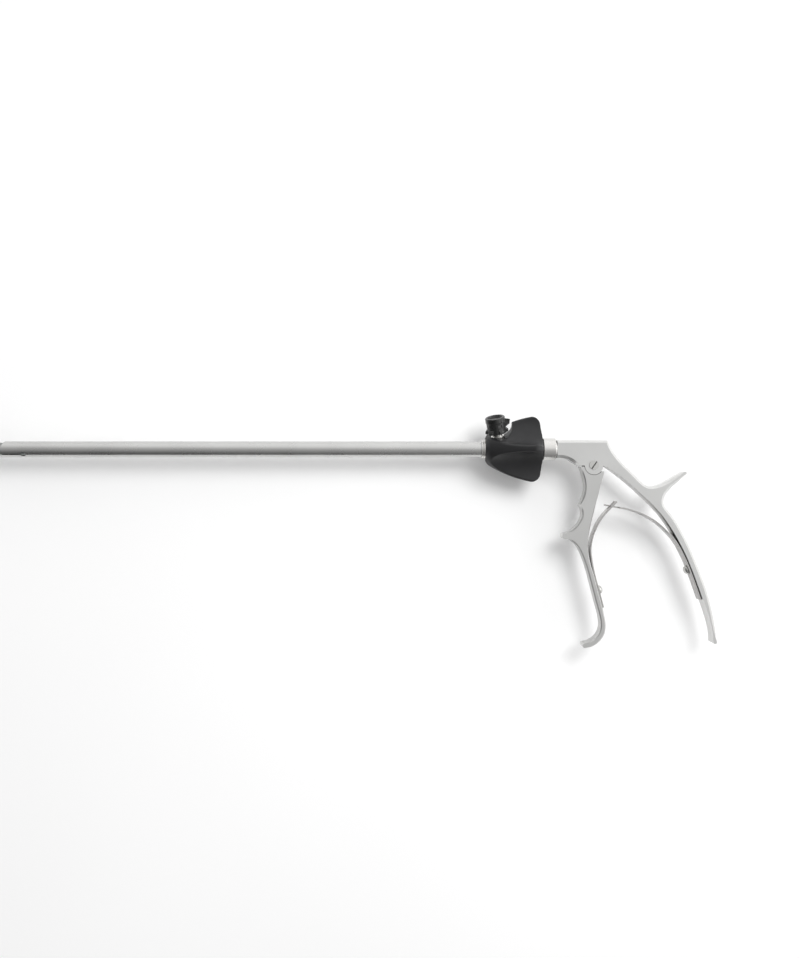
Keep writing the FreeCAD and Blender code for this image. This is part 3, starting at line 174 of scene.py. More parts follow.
@dataclass(frozen=True)
class Moulded:
    """One moulded plastic or rubber finish.

    Args:
        slot: the record's material slot.
        colour: linear base colour.
        worn_and_highlit: linear colour of scuffed patches; scaled up, it also colours the edges, scuffed
            and with a painted highlight.
        roughness: lowest roughness.
        spread: how much rougher the roughest patches are.
        depth: height of the moulded grain in metres.
        gloss: specular level.
    """

    slot: str
    colour: Place
    worn_and_highlit: Place
    roughness: float
    spread: float
    depth: float
    gloss: float = 0.5

    def make(self) -> bpy.types.Material:
        """Make the material.

        Returns:
            The node material.
        """
        bench = NodeBench(self.slot)
        place = bench.coordinates()
        patches = bench.noise(place, PLASTIC_PATCHES, 4.0)
        colour = bench.ramp(patches, self.colour, self.worn_and_highlit)
        rubbed_and_highlit = tuple(part * PLASTIC_RUBBED_AND_HIGHLIGHT for part in self.worn_and_highlit)
        # Edges: real wear plus a painted highlight, so the base colour is lighter there.
        bench.link(bench.mixed(bench.edges(PLASTIC_WEAR_AND_HIGHLIGHT), colour, rubbed_and_highlit), "Base Color")
        blotches = bench.noise(place, PLASTIC_BLOTCHES, 3.0)
        rough = bench.span(blotches, self.roughness, self.roughness + self.spread)
        bench.link(rough, "Roughness")
        grain = bench.noise(place, PLASTIC_GRAIN, 2.0)
        bench.bump(grain, self.depth)
        bench.set("Specular IOR Level", self.gloss)
        return bench.material


class NodeBench:
    """Builds one Principled material node by node."""

    def __init__(self, name: str) -> None:
        """Start an empty node material.

        Args:
            name: the material's name.
        """
        self.material = bpy.data.materials.new(name)
        self.material.use_nodes = True
        self.tree = self.material.node_tree
        self.shader = self.tree.nodes["Principled BSDF"]

    def coordinates(self) -> bpy.types.NodeSocket:
        """Object coordinates."""
        return self.tree.nodes.new("ShaderNodeTexCoord").outputs["Object"]

    def stretched(self, place: bpy.types.NodeSocket, scale: Place) -> bpy.types.NodeSocket:
        """Scale coordinates differently along each axis.

        Args:
            place: the coordinates.
            scale: the scale along each axis.

        Returns:
            The scaled coordinates.
        """
        mapping = self.tree.nodes.new("ShaderNodeMapping")
        mapping.inputs["Scale"].default_value = scale
        self.tree.links.new(place, mapping.inputs["Vector"])
        return mapping.outputs["Vector"]

    def noise(self, place: bpy.types.NodeSocket, scale: float, detail: float) -> bpy.types.NodeSocket:
        """Add a noise pattern.

        Args:
            place: the coordinates it reads.
            scale: its scale.
            detail: its octaves.

        Returns:
            The pattern's value.
        """
        node = self.tree.nodes.new("ShaderNodeTexNoise")
        node.inputs["Scale"].default_value = scale
        node.inputs["Detail"].default_value = detail
        self.tree.links.new(place, node.inputs["Vector"])
        return node.outputs["Fac"]

    def ramp(self, value: bpy.types.NodeSocket, low: Place, high: Place) -> bpy.types.NodeSocket:
        """Colour a value.

        Args:
            value: the pattern.
            low: linear colour of low values.
            high: linear colour of high values.

        Returns:
            The colour.
        """
        node = self.tree.nodes.new("ShaderNodeValToRGB")
        first, last = node.color_ramp.elements
        first.position, last.position = RAMP_STOPS
        first.color, last.color = (*low, 1.0), (*high, 1.0)
        self.tree.links.new(value, node.inputs["Fac"])
        return node.outputs["Color"]

    def edges(self, radius: float) -> bpy.types.NodeSocket:
        """Find the edges, where hands and cloths rub and where a painted highlight is laid.

        Args:
            radius: how far from the edge, in metres.

        Returns:
            One at an edge and zero on a face.
        """
        bevel = self.tree.nodes.new("ShaderNodeBevel")
        bevel.samples = EDGE_SAMPLES
        bevel.inputs["Radius"].default_value = radius
        face = self.tree.nodes.new("ShaderNodeNewGeometry")
        alike = self.tree.nodes.new("ShaderNodeVectorMath")
        alike.operation = "DOT_PRODUCT"
        self.tree.links.new(bevel.outputs["Normal"], alike.inputs[0])
        self.tree.links.new(face.outputs["Normal"], alike.inputs[1])
        node = self.tree.nodes.new("ShaderNodeMapRange")
        node.inputs["From Min"].default_value = EDGE_LIKENESS[0]
        node.inputs["From Max"].default_value = EDGE_LIKENESS[1]
        self.tree.links.new(alike.outputs["Value"], node.inputs["Value"])
        return node.outputs["Result"]

    def corners(self, reach: float) -> bpy.types.NodeSocket:
        """Find slots and corners, where shade is painted in.

        Args:
            reach: how far the corner's other side may be, in metres.

        Returns:
            Near one in a deep slot and zero on an open face.
        """
        hidden = self.tree.nodes.new("ShaderNodeAmbientOcclusion")
        hidden.samples = CORNER_SAMPLES
        hidden.inputs["Distance"].default_value = reach
        node = self.tree.nodes.new("ShaderNodeMapRange")
        node.inputs["From Min"].default_value = CORNER_LIGHT[0]
        node.inputs["From Max"].default_value = CORNER_LIGHT[1]
        self.tree.links.new(hidden.outputs["AO"], node.inputs["Value"])
        return node.outputs["Result"]

    def mixed(self, share: bpy.types.NodeSocket, colour: bpy.types.NodeSocket,
              other: Place) -> bpy.types.NodeSocket:
        """Blend a colour towards another one.

        Args:
            share: how much of the other colour.
            colour: the colour that comes in.
            other: the other colour, linear.

        Returns:
            The blend.
        """
        node = self.tree.nodes.new("ShaderNodeMix")
        node.data_type = "RGBA"
        self.tree.links.new(share, node.inputs["Factor"])
        self.tree.links.new(colour, node.inputs["A"])
        node.inputs["B"].default_value = (*other, 1.0)
        return node.outputs["Result"]

    def span(self, value: bpy.types.NodeSocket, low: float, high: float) -> bpy.types.NodeSocket:
        """Map a value to a range.

        Args:
            value: the pattern.
            low: result for low values.
            high: result for high values.

        Returns:
            The mapped value.
        """
        node = self.tree.nodes.new("ShaderNodeMapRange")
        node.inputs["From Min"].default_value = NOISE_SPAN[0]
        node.inputs["From Max"].default_value = NOISE_SPAN[1]
        node.inputs["To Min"].default_value = low
        node.inputs["To Max"].default_value = high
        self.tree.links.new(value, node.inputs["Value"])
        return node.outputs["Result"]

    def bump(self, height: bpy.types.NodeSocket, depth: float) -> None:
        """Raise the surface by a pattern.

        Args:
            height: the pattern.
            depth: its height in metres.
        """
        node = self.tree.nodes.new("ShaderNodeBump")
        node.inputs["Strength"].default_value = 1.0
        node.inputs["Distance"].default_value = depth
        self.tree.links.new(height, node.inputs["Height"])
        self.tree.links.new(node.outputs["Normal"], self.shader.inputs["Normal"])

    def link(self, value: bpy.types.NodeSocket, socket: str) -> None:
        """Link a value to a socket of the shader."""
        self.tree.links.new(value, self.shader.inputs[socket])

    def set(self, socket: str, value: float) -> None:
        """Set a constant on a socket of the shader."""
        self.shader.inputs[socket].default_value = value


FINISHES: list[Steel | Moulded] = [
    Steel("shaft_steel", (0.60, 0.60, 0.59), 0.26, 0.04, Grain.DRAWN, 0.0000002),
    Steel("handle_steel", (0.70, 0.70, 0.69), 0.34, 0.06, Grain.BEAD, 0.000003),
    Steel("trigger_steel", (0.64, 0.64, 0.63), 0.34, 0.06, Grain.BEAD, 0.000003),
    Steel("spring_steel", (0.50, 0.49, 0.48), 0.25, 0.06, Grain.POLISHED, 0.0000015),
    Steel("jaw_steel", (0.46, 0.49, 0.48), 0.28, 0.06, Grain.BEAD, 0.000002),
    Steel("turned_steel", (0.70, 0.69, 0.67), 0.18, 0.05, Grain.TURNED, 0.000001),
    Steel("port_steel", (0.68, 0.67, 0.65), 0.14, 0.05, Grain.POLISHED, 0.000001),
    Steel("screw_steel", (0.62, 0.62, 0.60), 0.24, 0.08, Grain.POLISHED, 0.000002),
    Moulded("knob_plastic", (0.008, 0.008, 0.009), (0.011, 0.011, 0.012), 0.46, 0.08, 0.000005, 0.5),
    Moulded("cap_plastic", (0.004, 0.004, 0.004), (0.006, 0.006, 0.006), 0.24, 0.08, 0.000002, 0.7),
    Moulded("seal_rubber", (0.30, 0.28, 0.25), (0.36, 0.34, 0.31), 0.55, 0.10, 0.000006),
]


def focus(shape: Shape) -> None:
    """Select one object alone and make it active."""
    bpy.ops.object.select_all(action="DESELECT")
    shape.select_set(True)
    bpy.context.view_layer.objects.active = shape


def settle(shape: Shape, place: Matrix | None = None) -> None:
    """Put a shape's place into its mesh.

    Args:
        shape: the object.
        place: a placement to give it first.
    """
    if place is not None:
        shape.matrix_world = place @ shape.matrix_world
    focus(shape)
    bpy.ops.object.transform_apply(location=True, rotation=True, scale=True)


def finished(shape: Shape, kind: str, **settings: object) -> None:
    """Add a modifier and apply it.

    Args:
        shape: the object.
        kind: the modifier's type.
        settings: its settings by name.
    """
    focus(shape)
    bpy.ops.object.modifier_add(type=kind)
    modifier = shape.modifiers[-1]
    for name, value in settings.items():
        setattr(modifier, name, value)
    bpy.ops.object.modifier_apply(modifier=modifier.name)


def worked(shape: Shape, tools: list[Shape], way: Way) -> None:
    """Cut or join with tool shapes, which are used up.

    Args:
        shape: the object that changes.
        tools: closed shapes.
        way: how they work on it.
    """
    for tool in tools:
        finished(shape, "BOOLEAN", object=tool, operation=way.value, solver="EXACT")
        bpy.data.objects.remove(tool)


def rounded(shape: Shape, width: float, angle: float = 30.0, segments: int = 2) -> None:
    """Round a shape's sharp edges and smooth its faces.

    Args:
        shape: the object.
        width: the rounding in millimetres.
        angle: edges sharper than this many degrees are rounded.
        segments: faces across each rounding.
    """
    if width > 0.0:
        finished(shape, "BEVEL", width=width * MM, segments=segments, limit_method="ANGLE",
                 angle_limit=math.radians(angle), use_clamp_overlap=True, harden_normals=False)
    focus(shape)
    bpy.ops.object.shade_smooth_by_angle(angle=SMOOTH_BELOW)
    finished(shape, "WEIGHTED_NORMAL", keep_sharp=True)


def bowed(start: Station, end: Station, radius: float, steps: int = 10) -> list[Station]:
    """Stations of an arc that bulges away from the axis.

    Args:
        start: where it starts.
        end: where it ends.
        radius: its radius in millimetres.
        steps: how many straight pieces it becomes.

    Returns:
        The stations after the start, the end included.
    """
    chord = Vector(end) - Vector(start)
    out = Vector((-chord.y, chord.x)).normalized()
    centre = (Vector(start) + Vector(end)) / 2 - out * math.sqrt(radius ** 2 - chord.length_squared / 4)
    first = math.atan2(start[1] - centre.y, start[0] - centre.x)
    last = math.atan2(end[1] - centre.y, end[0] - centre.x)
    turns = [first + (last - first) * step / steps for step in range(1, steps + 1)]
    return [(centre.x + radius * math.cos(turn), centre.y + radius * math.sin(turn)) for turn in turns]


def prism(name: str, corners: list[Station], width: float) -> Shape:
    """Flat plate that stands on the XY plane's both sides.

    Args:
        name: the object's name.
        corners: its outline in millimetres.
        width: its thickness in millimetres.

    Returns:
        The plate.
    """
    curve = bpy.data.curves.new(name, "CURVE")
    curve.dimensions = "2D"
    curve.fill_mode = "BOTH"
    curve.extrude = width / 2 * MM
    run = curve.splines.new("POLY")
    run.points.add(len(corners) - 1)
    for point, (x, y) in zip(run.points, corners):
        point.co = (x * MM, y * MM, 0.0, 1.0)
    run.use_cyclic_u = True
    shape = bpy.data.objects.new(name, curve)
    bpy.context.scene.collection.objects.link(shape)
    focus(shape)
    bpy.ops.object.convert(target="MESH")
    shape = bpy.context.object
    bpy.ops.object.mode_set(mode="EDIT")
    bpy.ops.mesh.select_all(action="SELECT")
    bpy.ops.mesh.remove_doubles(threshold=MERGE)
    bpy.ops.mesh.normals_make_consistent(inside=False)
    bpy.ops.object.mode_set(mode="OBJECT")
    return shape


def lathe(name: str, stations: list[Station], segments: int = 96, hollow: bool = False) -> Shape:
    """Turn a profile about the X axis.

    Args:
        name: the object's name.
        stations: (along the axis, radius) corners in millimetres.
        segments: faces round the axis.
        hollow: true if the profile closes on itself round a bore.

    Returns:
        The turned shape.
    """
    start, radius = stations[0]
    bpy.ops.object.select_all(action="DESELECT")
    bpy.ops.mesh.primitive_circle_add(
        vertices=segments, radius=radius * MM, fill_type="NOTHING" if hollow else "NGON",
        location=(start * MM, 0.0, 0.0), rotation=(0.0, math.pi / 2, 0.0))
    shape = bpy.context.object
    shape.name = name
    settle(shape)
    bpy.ops.object.mode_set(mode="EDIT")
    bpy.ops.mesh.select_all(action="SELECT")
    for here, wide in stations[1:] + (stations[:1] if hollow else []):
        bpy.ops.mesh.extrude_region_move(TRANSFORM_OT_translate={"value": ((here - start) * MM, 0.0, 0.0)})
        grow = wide / radius
        bpy.ops.transform.resize(value=(1.0, grow, grow), center_override=(here * MM, 0.0, 0.0))
        start, radius = here, wide
    bpy.ops.mesh.select_all(action="SELECT")
    bpy.ops.mesh.remove_doubles(threshold=MERGE)
    bpy.ops.mesh.normals_make_consistent(inside=False)
    bpy.ops.object.mode_set(mode="OBJECT")
    return shape


def rod(name: str, radius: float, start: Vector, end: Vector, segments: int = 96) -> Shape:
    """Round bar between two points.

    Args:
        name: the object's name.
        radius: in millimetres.
        start: one end in millimetres.
        end: the other end in millimetres.
        segments: faces round it.

    Returns:
        The bar.
    """
    way = end - start
    bpy.ops.object.select_all(action="DESELECT")
    bpy.ops.mesh.primitive_cylinder_add(
        vertices=segments, radius=radius * MM, depth=way.length * MM, location=(start + way / 2) * MM,
        rotation=way.to_track_quat("Z", "Y").to_euler())
    shape = bpy.context.object
    shape.name = name
    settle(shape)
    return shape


def block(name: str, size: Place, place: Matrix) -> Shape:
    """Box of a size about a placement.

    Args:
        name: the object's name.
        size: its sides in millimetres.
        place: the placement of its middle, in millimetres.

    Returns:
        The box.
    """
    bpy.ops.object.select_all(action="DESELECT")
    bpy.ops.mesh.primitive_cube_add(size=MM)
    shape = bpy.context.object
    shape.name = name
    shape.scale = size
    settle(shape)
    settle(shape, Matrix.Translation(place.translation * MM) @ place.to_3x3().normalized().to_4x4())
    return shape


def upright(origin: Vector, way: Vector) -> Matrix:
    """Placement in metres that turns the X axis to a direction.

    Args:
        origin: its origin in millimetres.
        way: the direction of its X axis.

    Returns:
        The placement.
    """
    return Matrix.Translation(origin * MM) @ way.to_track_quat("X", "Z").to_matrix().to_4x4()


class Workshop:
    """Holds the frame and the finishes, and hands pieces over to them."""

    def __init__(self, frame: dict) -> None:
        """Make the finishes and dress every node of the frame.
        """
        self.nodes: dict[str, Shape] = frame["nodes"]
        self.finish = {finish.slot: finish.make() for finish in FINISHES}
        self.slots = {part["node"]: part["material_slot"] for part in frame["record"]["subparts"]}
        for name, node in self.nodes.items():
            self.dress(node, self.slots[name])

    def dress(self, shape: Shape, slot: str) -> None:
        """Give a shape one finish.

        Args:
            shape: the object.
            slot: the record's material slot.
        """
        shape.data.materials.clear()
        shape.data.materials.append(self.finish[slot])

    def place(self, shape: Shape, node: str, body: str | None) -> None:
        """Let a shape stand for a node.

        Args:
            shape: the object.
            node: the CAD node that it replaces.
            body: the body that it rides on, or None to leave it on no body.
        """
        shape.name = node + "_made"
        self.dress(shape, self.slots[node])
        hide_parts(node)
        if body:
            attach(shape, body)
        LOG.info("%s stands for %s, %d faces", shape.name, node, len(shape.data.polygons))

    def softened(self, node: str, body: str, width: float, cuts: tuple[Shape, ...] = ()) -> Shape:
        """Copy a node's faces, merge them and round their sharp edges.

        Args:
            node: the CAD node.
            body: the body that it rides on.
            width: the rounding in millimetres.
            cuts: closed shapes to cut away first.

        Returns:
            The piece.
        """
        shape = self.nodes[node].copy()
        shape.data = self.nodes[node].data.copy()
        shape.parent = None
        for key in [key for key in shape.keys() if key.startswith("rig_")]:
            del shape[key]
        bpy.context.scene.collection.objects.link(shape)
        focus(shape)
        bpy.ops.object.mode_set(mode="EDIT")
        bpy.ops.mesh.select_all(action="SELECT")
        bpy.ops.mesh.remove_doubles(threshold=0.000002)
        bpy.ops.mesh.dissolve_limited(angle_limit=math.radians(0.4))
        bpy.ops.object.mode_set(mode="OBJECT")
        worked(shape, list(cuts), Way.CUT)
        rounded(shape, width)
        self.place(shape, node, body)
        return shape


@dataclass
class Port:
    """Where the flushing port leaves the shaft's axis."""

    station: float = 11.6
    lean: float = 10.0
    tilt: float = 18.0

    def way(self) -> Vector:
        """Direction away from the shaft."""
        lean, tilt = math.radians(self.lean), math.radians(self.tilt)
        return Vector((-math.sin(lean), math.cos(lean) * math.cos(tilt), math.cos(lean) * math.sin(tilt)))

    def at(self, height: float) -> Vector:
        """A point on the port's axis."""
        return Vector((self.station, 0.0, 0.0)) + self.way() * height


@dataclass
class RotationKnob:
    """Four finned knob of black plastic."""

    nose: Station = (2.5, 6.9)
    shoulder: Station = (5.6, 10.7)
    crest: Station = (31.4, 20.4)
    heel: Station = (37.0, 14.8)
    rear: Station = (38.2, 6.9)
    nose_bow: float = 6.8
    flank_bow: float = 80.0
    heel_bow: float = 5.6
    bore: float = 6.52
    bore_end: float = 45.0
    scoop: float = 14.6
    scoop_front: Station = (-5.0, 11.7)
    scoop_rear: Station = (50.0, 6.4)
    notch: float = 7.0
    notch_at: Station = (12.3, 15.4)
    eased: tuple[Station, Station] = ((5.6, 10.75), (31.4, 15.30))
    relief_size: Place = (80.0, 20.0, 60.0)
    relief_shift: float = 13.0
    cap_room: float = 7.5
    port_room: float = 4.3
    fins: int = 4
    first_scoop: float = 45.0
    voxel: float = 0.28
    easing: int = 4

    def profile(self) -> list[Station]:
        """Turned outline of the fins."""
        front = bowed(self.nose, self.shoulder, self.nose_bow)
        flank = bowed(self.shoulder, self.crest, self.flank_bow)
        end = bowed(self.crest, self.heel, self.heel_bow)
        return [self.nose, *front, *flank, *end, self.rear]

    def relief(self, way: Vector) -> Shape:
        """Block that eases the fins' edges beside one scoop.

        Args:
            way: direction of the scoop from the axis.

        Returns:
            The block, outside the eased edges.
        """
        (start, low), (end, high) = self.eased
        first = Vector((start, 0.0, 0.0)) + way * low
        along = (Vector((end, 0.0, 0.0)) + way * high - first).normalized()
        side = along.cross(way).normalized()
        out = side.cross(along)
        turn = Matrix((along, out, side)).transposed().to_4x4()
        middle = first + along * self.relief_shift + out * self.relief_size[1] / 2
        return block("relief", self.relief_size, Matrix.Translation(middle) @ turn)

    def build(self, shop: Workshop, port: Port) -> None:
        """Turn, scoop and ease the knob.

        Args:
            shop: the workshop.
            port: the flushing port that it makes room for.
        """
        knob = lathe("knob", self.profile(), 160)
        tools = []
        for number in range(self.fins):
            turn = math.radians(self.first_scoop + 360.0 / self.fins * number)
            way = Vector((0.0, math.sin(turn), math.cos(turn)))
            ends = [Vector((x, 0.0, 0.0)) + way * (self.scoop + depth)
                    for x, depth in (self.scoop_front, self.scoop_rear)]
            tools.append(rod("scoop", self.scoop, *ends, segments=160))
            tools.append(self.relief(way))
        tilt = math.radians(port.tilt)
        across = Vector((0.0, -math.sin(tilt), math.cos(tilt))) * self.crest[1]
        notch = Vector((*self.notch_at, 0.0))
        tools.append(rod("notch", self.notch, notch - across, notch + across))
        tools.append(rod("cap_room", self.cap_room, port.at(9.0), port.at(39.0)))
        tools.append(rod("port_room", self.port_room, port.at(5.5), port.at(17.0)))
        tools.append(rod("bore", self.bore, Vector((0.0, 0.0, 0.0)), Vector((self.bore_end, 0.0, 0.0))))
        worked(knob, tools, Way.CUT)
        finished(knob, "REMESH", mode="VOXEL", voxel_size=self.voxel * MM, use_smooth_shade=True)
        finished(knob, "SMOOTH", factor=0.5, iterations=self.easing)
        focus(knob)
        bpy.ops.object.shade_smooth()
        shop.place(knob, "rotation_knob", "rotator")


@dataclass
class LuerCap:
    """Cap with a dished top, lugs round its foot and one finger tab."""

    radius: float = 6.15
    bottom: float = 10.8
    top: float = 21.0
    wall: float = 1.6
    roof: float = 17.8
    lugs: int = 6
    lug_width: float = 2.6
    tab_turn: float = 20.0
    tab_width: float = 1.6
    window: float = 1.9

    def turned(self) -> Shape:
        """Turn the cap's cup, with its height along the X axis."""
        outer, inner, top = self.radius, self.radius - self.wall, self.top
        outside = [(self.bottom, inner), (self.bottom, outer - 0.3), (top - 3.2, outer - 0.3),
                   (top - 2.9, outer), (top - 0.4, outer), (top, outer - 0.4)]
        dish = [(top, outer - 1.4), (top - 1.2, outer - 2.0), (top - 1.6, 0.4)]
        cup = lathe("cap", [*outside, *dish, (self.roof, 0.4), (self.roof, inner)], 144, hollow=True)
        plug = rod("plug", 0.42, Vector((self.roof, 0.0, 0.0)), Vector((top - 1.61, 0.0, 0.0)), 24)
        worked(cup, [plug], Way.JOIN)
        return cup

    def build(self, shop: Workshop, port: Port) -> None:
        """Turn the cap and add its lugs, windows and tab.

        Args:
            shop: the workshop.
            port: the flushing port that it closes.
        """
        outer, low, top = self.radius, self.bottom, self.top
        cap = self.turned()
        tab_side = [(top - 1.8, outer - 1.0), (top - 3.2, outer + 3.1), (top - 5.8, outer + 2.4),
                    (top - 7.6, outer - 1.0)]
        tab = prism("tab", tab_side, self.tab_width)
        settle(tab, Matrix.Rotation(math.radians(self.tab_turn - 90.0), 4, "X"))
        worked(cap, [tab], Way.JOIN)
        lug_side = [(low, outer - 0.7), (low + 0.5, outer + 0.95), (low + 1.4, outer + 0.95),
                    (low + 3.6, outer - 0.7)]
        for number in range(self.lugs):
            spot = Matrix.Rotation(math.tau * number / self.lugs - math.pi / 2, 4, "X")
            lug = prism("lug", lug_side, self.lug_width)
            settle(lug, spot)
            worked(cap, [lug], Way.JOIN)
            middle = spot @ Matrix.Translation((low + 4.85, outer + 0.05, 0.0))
            opening = block("window", (self.window, self.window, self.lug_width), middle)
            worked(cap, [opening], Way.CUT)
        rounded(cap, 0.14, 35.0)
        stand = Vector((0.0, 0.0, 1.0)).rotation_difference(port.way()).to_matrix().to_4x4()
        foot = Matrix.Translation(Vector((port.station, 0.0, 0.0)) * MM)
        settle(cap, foot @ stand @ Matrix.Rotation(-math.pi / 2, 4, "Y"))
        shop.place(cap, "port_cap", "luer_cap")


@dataclass
class LeafScrew:
    """Slotted screw with a domed head that holds a leaf."""

    node: str
    body: str
    spot: Place
    out: Place

    def build(self, shop: Workshop) -> None:
        """Turn the screw and cut its slot.

        Args:
            shop: the workshop.
        """
        shank = [(-2.88, 1.0), (-2.5, 1.5), (0.58, 1.5)]
        head = [(0.58, 2.8), (1.05, 2.8), (1.6, 2.62), (2.2, 2.15), (2.65, 1.5), (2.88, 0.6)]
        screw = lathe("screw", shank + head, 64)
        slot = block("slot", (1.4, 7.0, 0.7), Matrix.Translation((2.75, 0.0, 0.0)))
        worked(screw, [slot], Way.CUT)
        rounded(screw, 0.08, 32.0)
        settle(screw, upright(Vector(self.spot), Vector(self.out)))
        shop.place(screw, self.node, self.body)


@dataclass
class LeafSpring:
    """Flat spring strip that stands on edge; the real one bends with the trigger, this one rides on no
    body.
    """

    node: str
    line: list[Station]
    thick: float = 1.0
    width: float = 8.0
    slot: Station = (0.0, 0.0)
    tongue: Station = (0.0, 0.0)

    def build(self, shop: Workshop) -> None:
        """Draw the strip along its line, then shape its tip.

        Args:
            shop: the workshop.
        """
        curve = bpy.data.curves.new(self.node, "CURVE")
        curve.dimensions = "2D"
        curve.fill_mode = "NONE"
        curve.extrude = self.width / 2 * MM
        curve.resolution_u = 12
        run = curve.splines.new("BEZIER")
        run.bezier_points.add(len(self.line) - 1)
        for point, (x, y) in zip(run.bezier_points, self.line):
            point.co = (x * MM, y * MM, 0.0)
            point.handle_left_type = point.handle_right_type = "AUTO"
        strip = bpy.data.objects.new(self.node + "_strip", curve)
        bpy.context.scene.collection.objects.link(strip)
        focus(strip)
        bpy.ops.object.convert(target="MESH")
        strip = bpy.context.object
        finished(strip, "SOLIDIFY", thickness=self.thick * MM, offset=0.0)
        end = Vector((*self.line[-1], 0.0))
        before = Vector((*self.line[-3], 0.0))
        way = (end - before).normalized()
        turn = Matrix.Rotation(math.atan2(way.y, way.x), 4, "Z")
        place = Matrix.Translation(end) @ turn
        length, wide = self.slot
        if length:
            worked(strip, [block("fork", (length + 2.0, 6.0, wide),
                                 place @ Matrix.Translation((1.0 - length / 2, 0.0, 0.0)))], Way.CUT)
        length, wide = self.tongue
        if length:
            side = (self.width - wide) / 2 + 1.0
            for sign in (-1.0, 1.0):
                middle = place @ Matrix.Translation((2.0 - length / 2, 0.0, sign * (wide / 2 + side / 2)))
                worked(strip, [block("side", (length + 4.0, 12.0, side), middle)], Way.CUT)
        rounded(strip, 0.18, 32.0)
        shop.place(strip, self.node, None)
        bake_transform(strip)


FRONT_SCREW: Place = (72.85, -87.9, 0.0)
FRONT_SCREW_WAY: Place = (0.9668, 0.2554, 0.0)
REAR_SCREW: Place = (129.35, -75.0, 0.0)
REAR_SCREW_WAY: Place = (-0.9347, -0.3555, 0.0)
FRONT_LINE: list[Station] = [
    (75.6, -98.4), (72.85, -87.9), (70.0, -77.2), (68.2, -67.6), (67.85, -61.8), (68.9, -55.3),
    (71.1, -49.2), (74.3, -43.5), (78.0, -38.9), (81.8, -35.0), (84.1, -32.6)]
REAR_LINE: list[Station] = [
    (136.05, -93.6), (129.35, -75.0), (125.8, -66.65), (120.6, -57.3), (115.9, -51.9), (112.4, -48.4),
    (108.0, -44.9), (101.0, -41.0), (95.7, -38.8), (90.4, -37.2), (83.4, -36.0), (76.9, -34.7)]


@dataclass
class Grip:
    """Handle, trigger, their pivot and the springs between them."""

    pivot: Station = (69.7, -10.0)
    slot_height: float = 5.4
    slot_turn: float = 55.0

    def build(self, shop: Workshop) -> None:
        """Make every piece of the grip.

        Args:
            shop: the workshop.
        """
        shop.softened("handle_body", "handle", 0.35)
        shop.softened("trigger", "trigger_lever", 0.3)
        middle = Matrix.Translation((*self.pivot, self.slot_height))
        slot_at = middle @ Matrix.Rotation(math.radians(self.slot_turn), 4, "Z")
        shop.softened("pivot_screw", "handle", 0.08, (block("pivot_slot", (7.0, 0.7, 3.0), slot_at),))
        shop.softened("rod_plug", "handle", 0.1)
        LeafSpring("front_spring", FRONT_LINE, slot=(7.0, 3.4)).build(shop)
        LeafSpring("rear_spring", REAR_LINE, tongue=(9.0, 2.4)).build(shop)
        LeafScrew("front_spring_screw", "trigger_lever", FRONT_SCREW, FRONT_SCREW_WAY).build(shop)
        LeafScrew("rear_spring_screw", "handle", REAR_SCREW, REAR_SCREW_WAY).build(shop)


@dataclass
class Tube:
    """Shaft tube with a slanted mouth, a keyhole with its slit and two slots under the knob."""

    radius: float = 5.0
    bore: float = 4.4
    tail: float = 4.8
    start: float = -314.55
    end: float = 37.5
    mouth: float = -299.1
    slant: float = 22.0
    keyhole: float = -285.0
    key_radius: float = 1.75
    key_turn: float = 41.0
    slit_width: float = 1.0
    flush_at: float = 11.6
    flush_turn: float = -72.0
    flush_slot: Station = (8.2, 3.0)
    drive_at: float = 27.9
    drive_slot: Station = (6.4, 2.6)
    reach: float = 10.0

    def openings(self) -> list[Shape]:
        """Cutters for the mouth, the keyhole and the slots."""
        lean = Matrix.Rotation(math.radians(-self.slant), 4, "Z")
        slanted = Matrix.Translation((self.mouth, 0.0, 0.0)) @ lean
        key = Matrix.Rotation(math.radians(self.key_turn), 4, "X")
        flush = Matrix.Rotation(math.radians(self.flush_turn), 4, "X")
        drive = Matrix.Rotation(math.pi / 2, 4, "X")
        hole = Vector((self.keyhole, 0.0, 0.0))
        length = self.keyhole - self.start
        out = self.reach / 2
        slit_at = key @ Matrix.Translation((self.start + length / 2, 0.0, out))
        flush_at = flush @ Matrix.Translation((self.flush_at, 0.0, out))
        drive_at = drive @ Matrix.Translation((self.drive_at, 0.0, out))
        return [
            block("mouth", (30.0, 60.0, 30.0), slanted @ Matrix.Translation((-15.0, 0.0, 0.0))),
            rod("keyhole", self.key_radius, hole, hole + key @ Vector((0.0, 0.0, self.reach)), 48),
            block("slit", (length, self.slit_width, self.reach), slit_at),
            block("flush_slot", (*self.flush_slot, self.reach), flush_at),
            block("drive_slot", (*self.drive_slot, self.reach), drive_at)]

    def build(self, shop: Workshop) -> None:
        """Turn the tube and cut its openings.

        Args:
            shop: the workshop.
        """
        wall = [(self.start, self.bore), (self.start, self.radius), (0.0, self.radius), (0.0, self.tail),
                (self.end, self.tail), (self.end, self.bore)]
        tube = lathe("tube", wall, 128, hollow=True)
        worked(tube, self.openings(), Way.CUT)
        rounded(tube, 0.05)
        shop.place(tube, "outer_tube", "shaft_tube")


@dataclass
class Turned:
    """One hollow piece turned about the shaft's axis."""

    node: str
    body: str
    profile: list[Station]
    easing: float = 0.1

    def build(self, shop: Workshop) -> None:
        """Turn the piece and ease its edges.

        Args:
            shop: the workshop.
        """
        piece = lathe(self.node, self.profile, 128, hollow=True)
        rounded(piece, self.easing)
        shop.place(piece, self.node, self.body)


RING: list[Station] = [
    (0.1, 4.85), (0.1, 5.6), (0.25, 6.1), (0.85, 6.1), (1.1, 5.6), (1.45, 5.6), (1.7, 6.1), (2.5, 6.1),
    (2.5, 5.65), (4.1, 5.65), (4.1, 4.85)]
COLLAR: list[Station] = [
    (38.4, 4.4), (38.4, 6.5), (38.7, 6.9), (45.9, 6.9), (46.7, 6.1), (46.7, 5.3), (43.2, 5.3), (43.2, 5.8),
    (40.1, 5.8), (40.1, 4.4)]


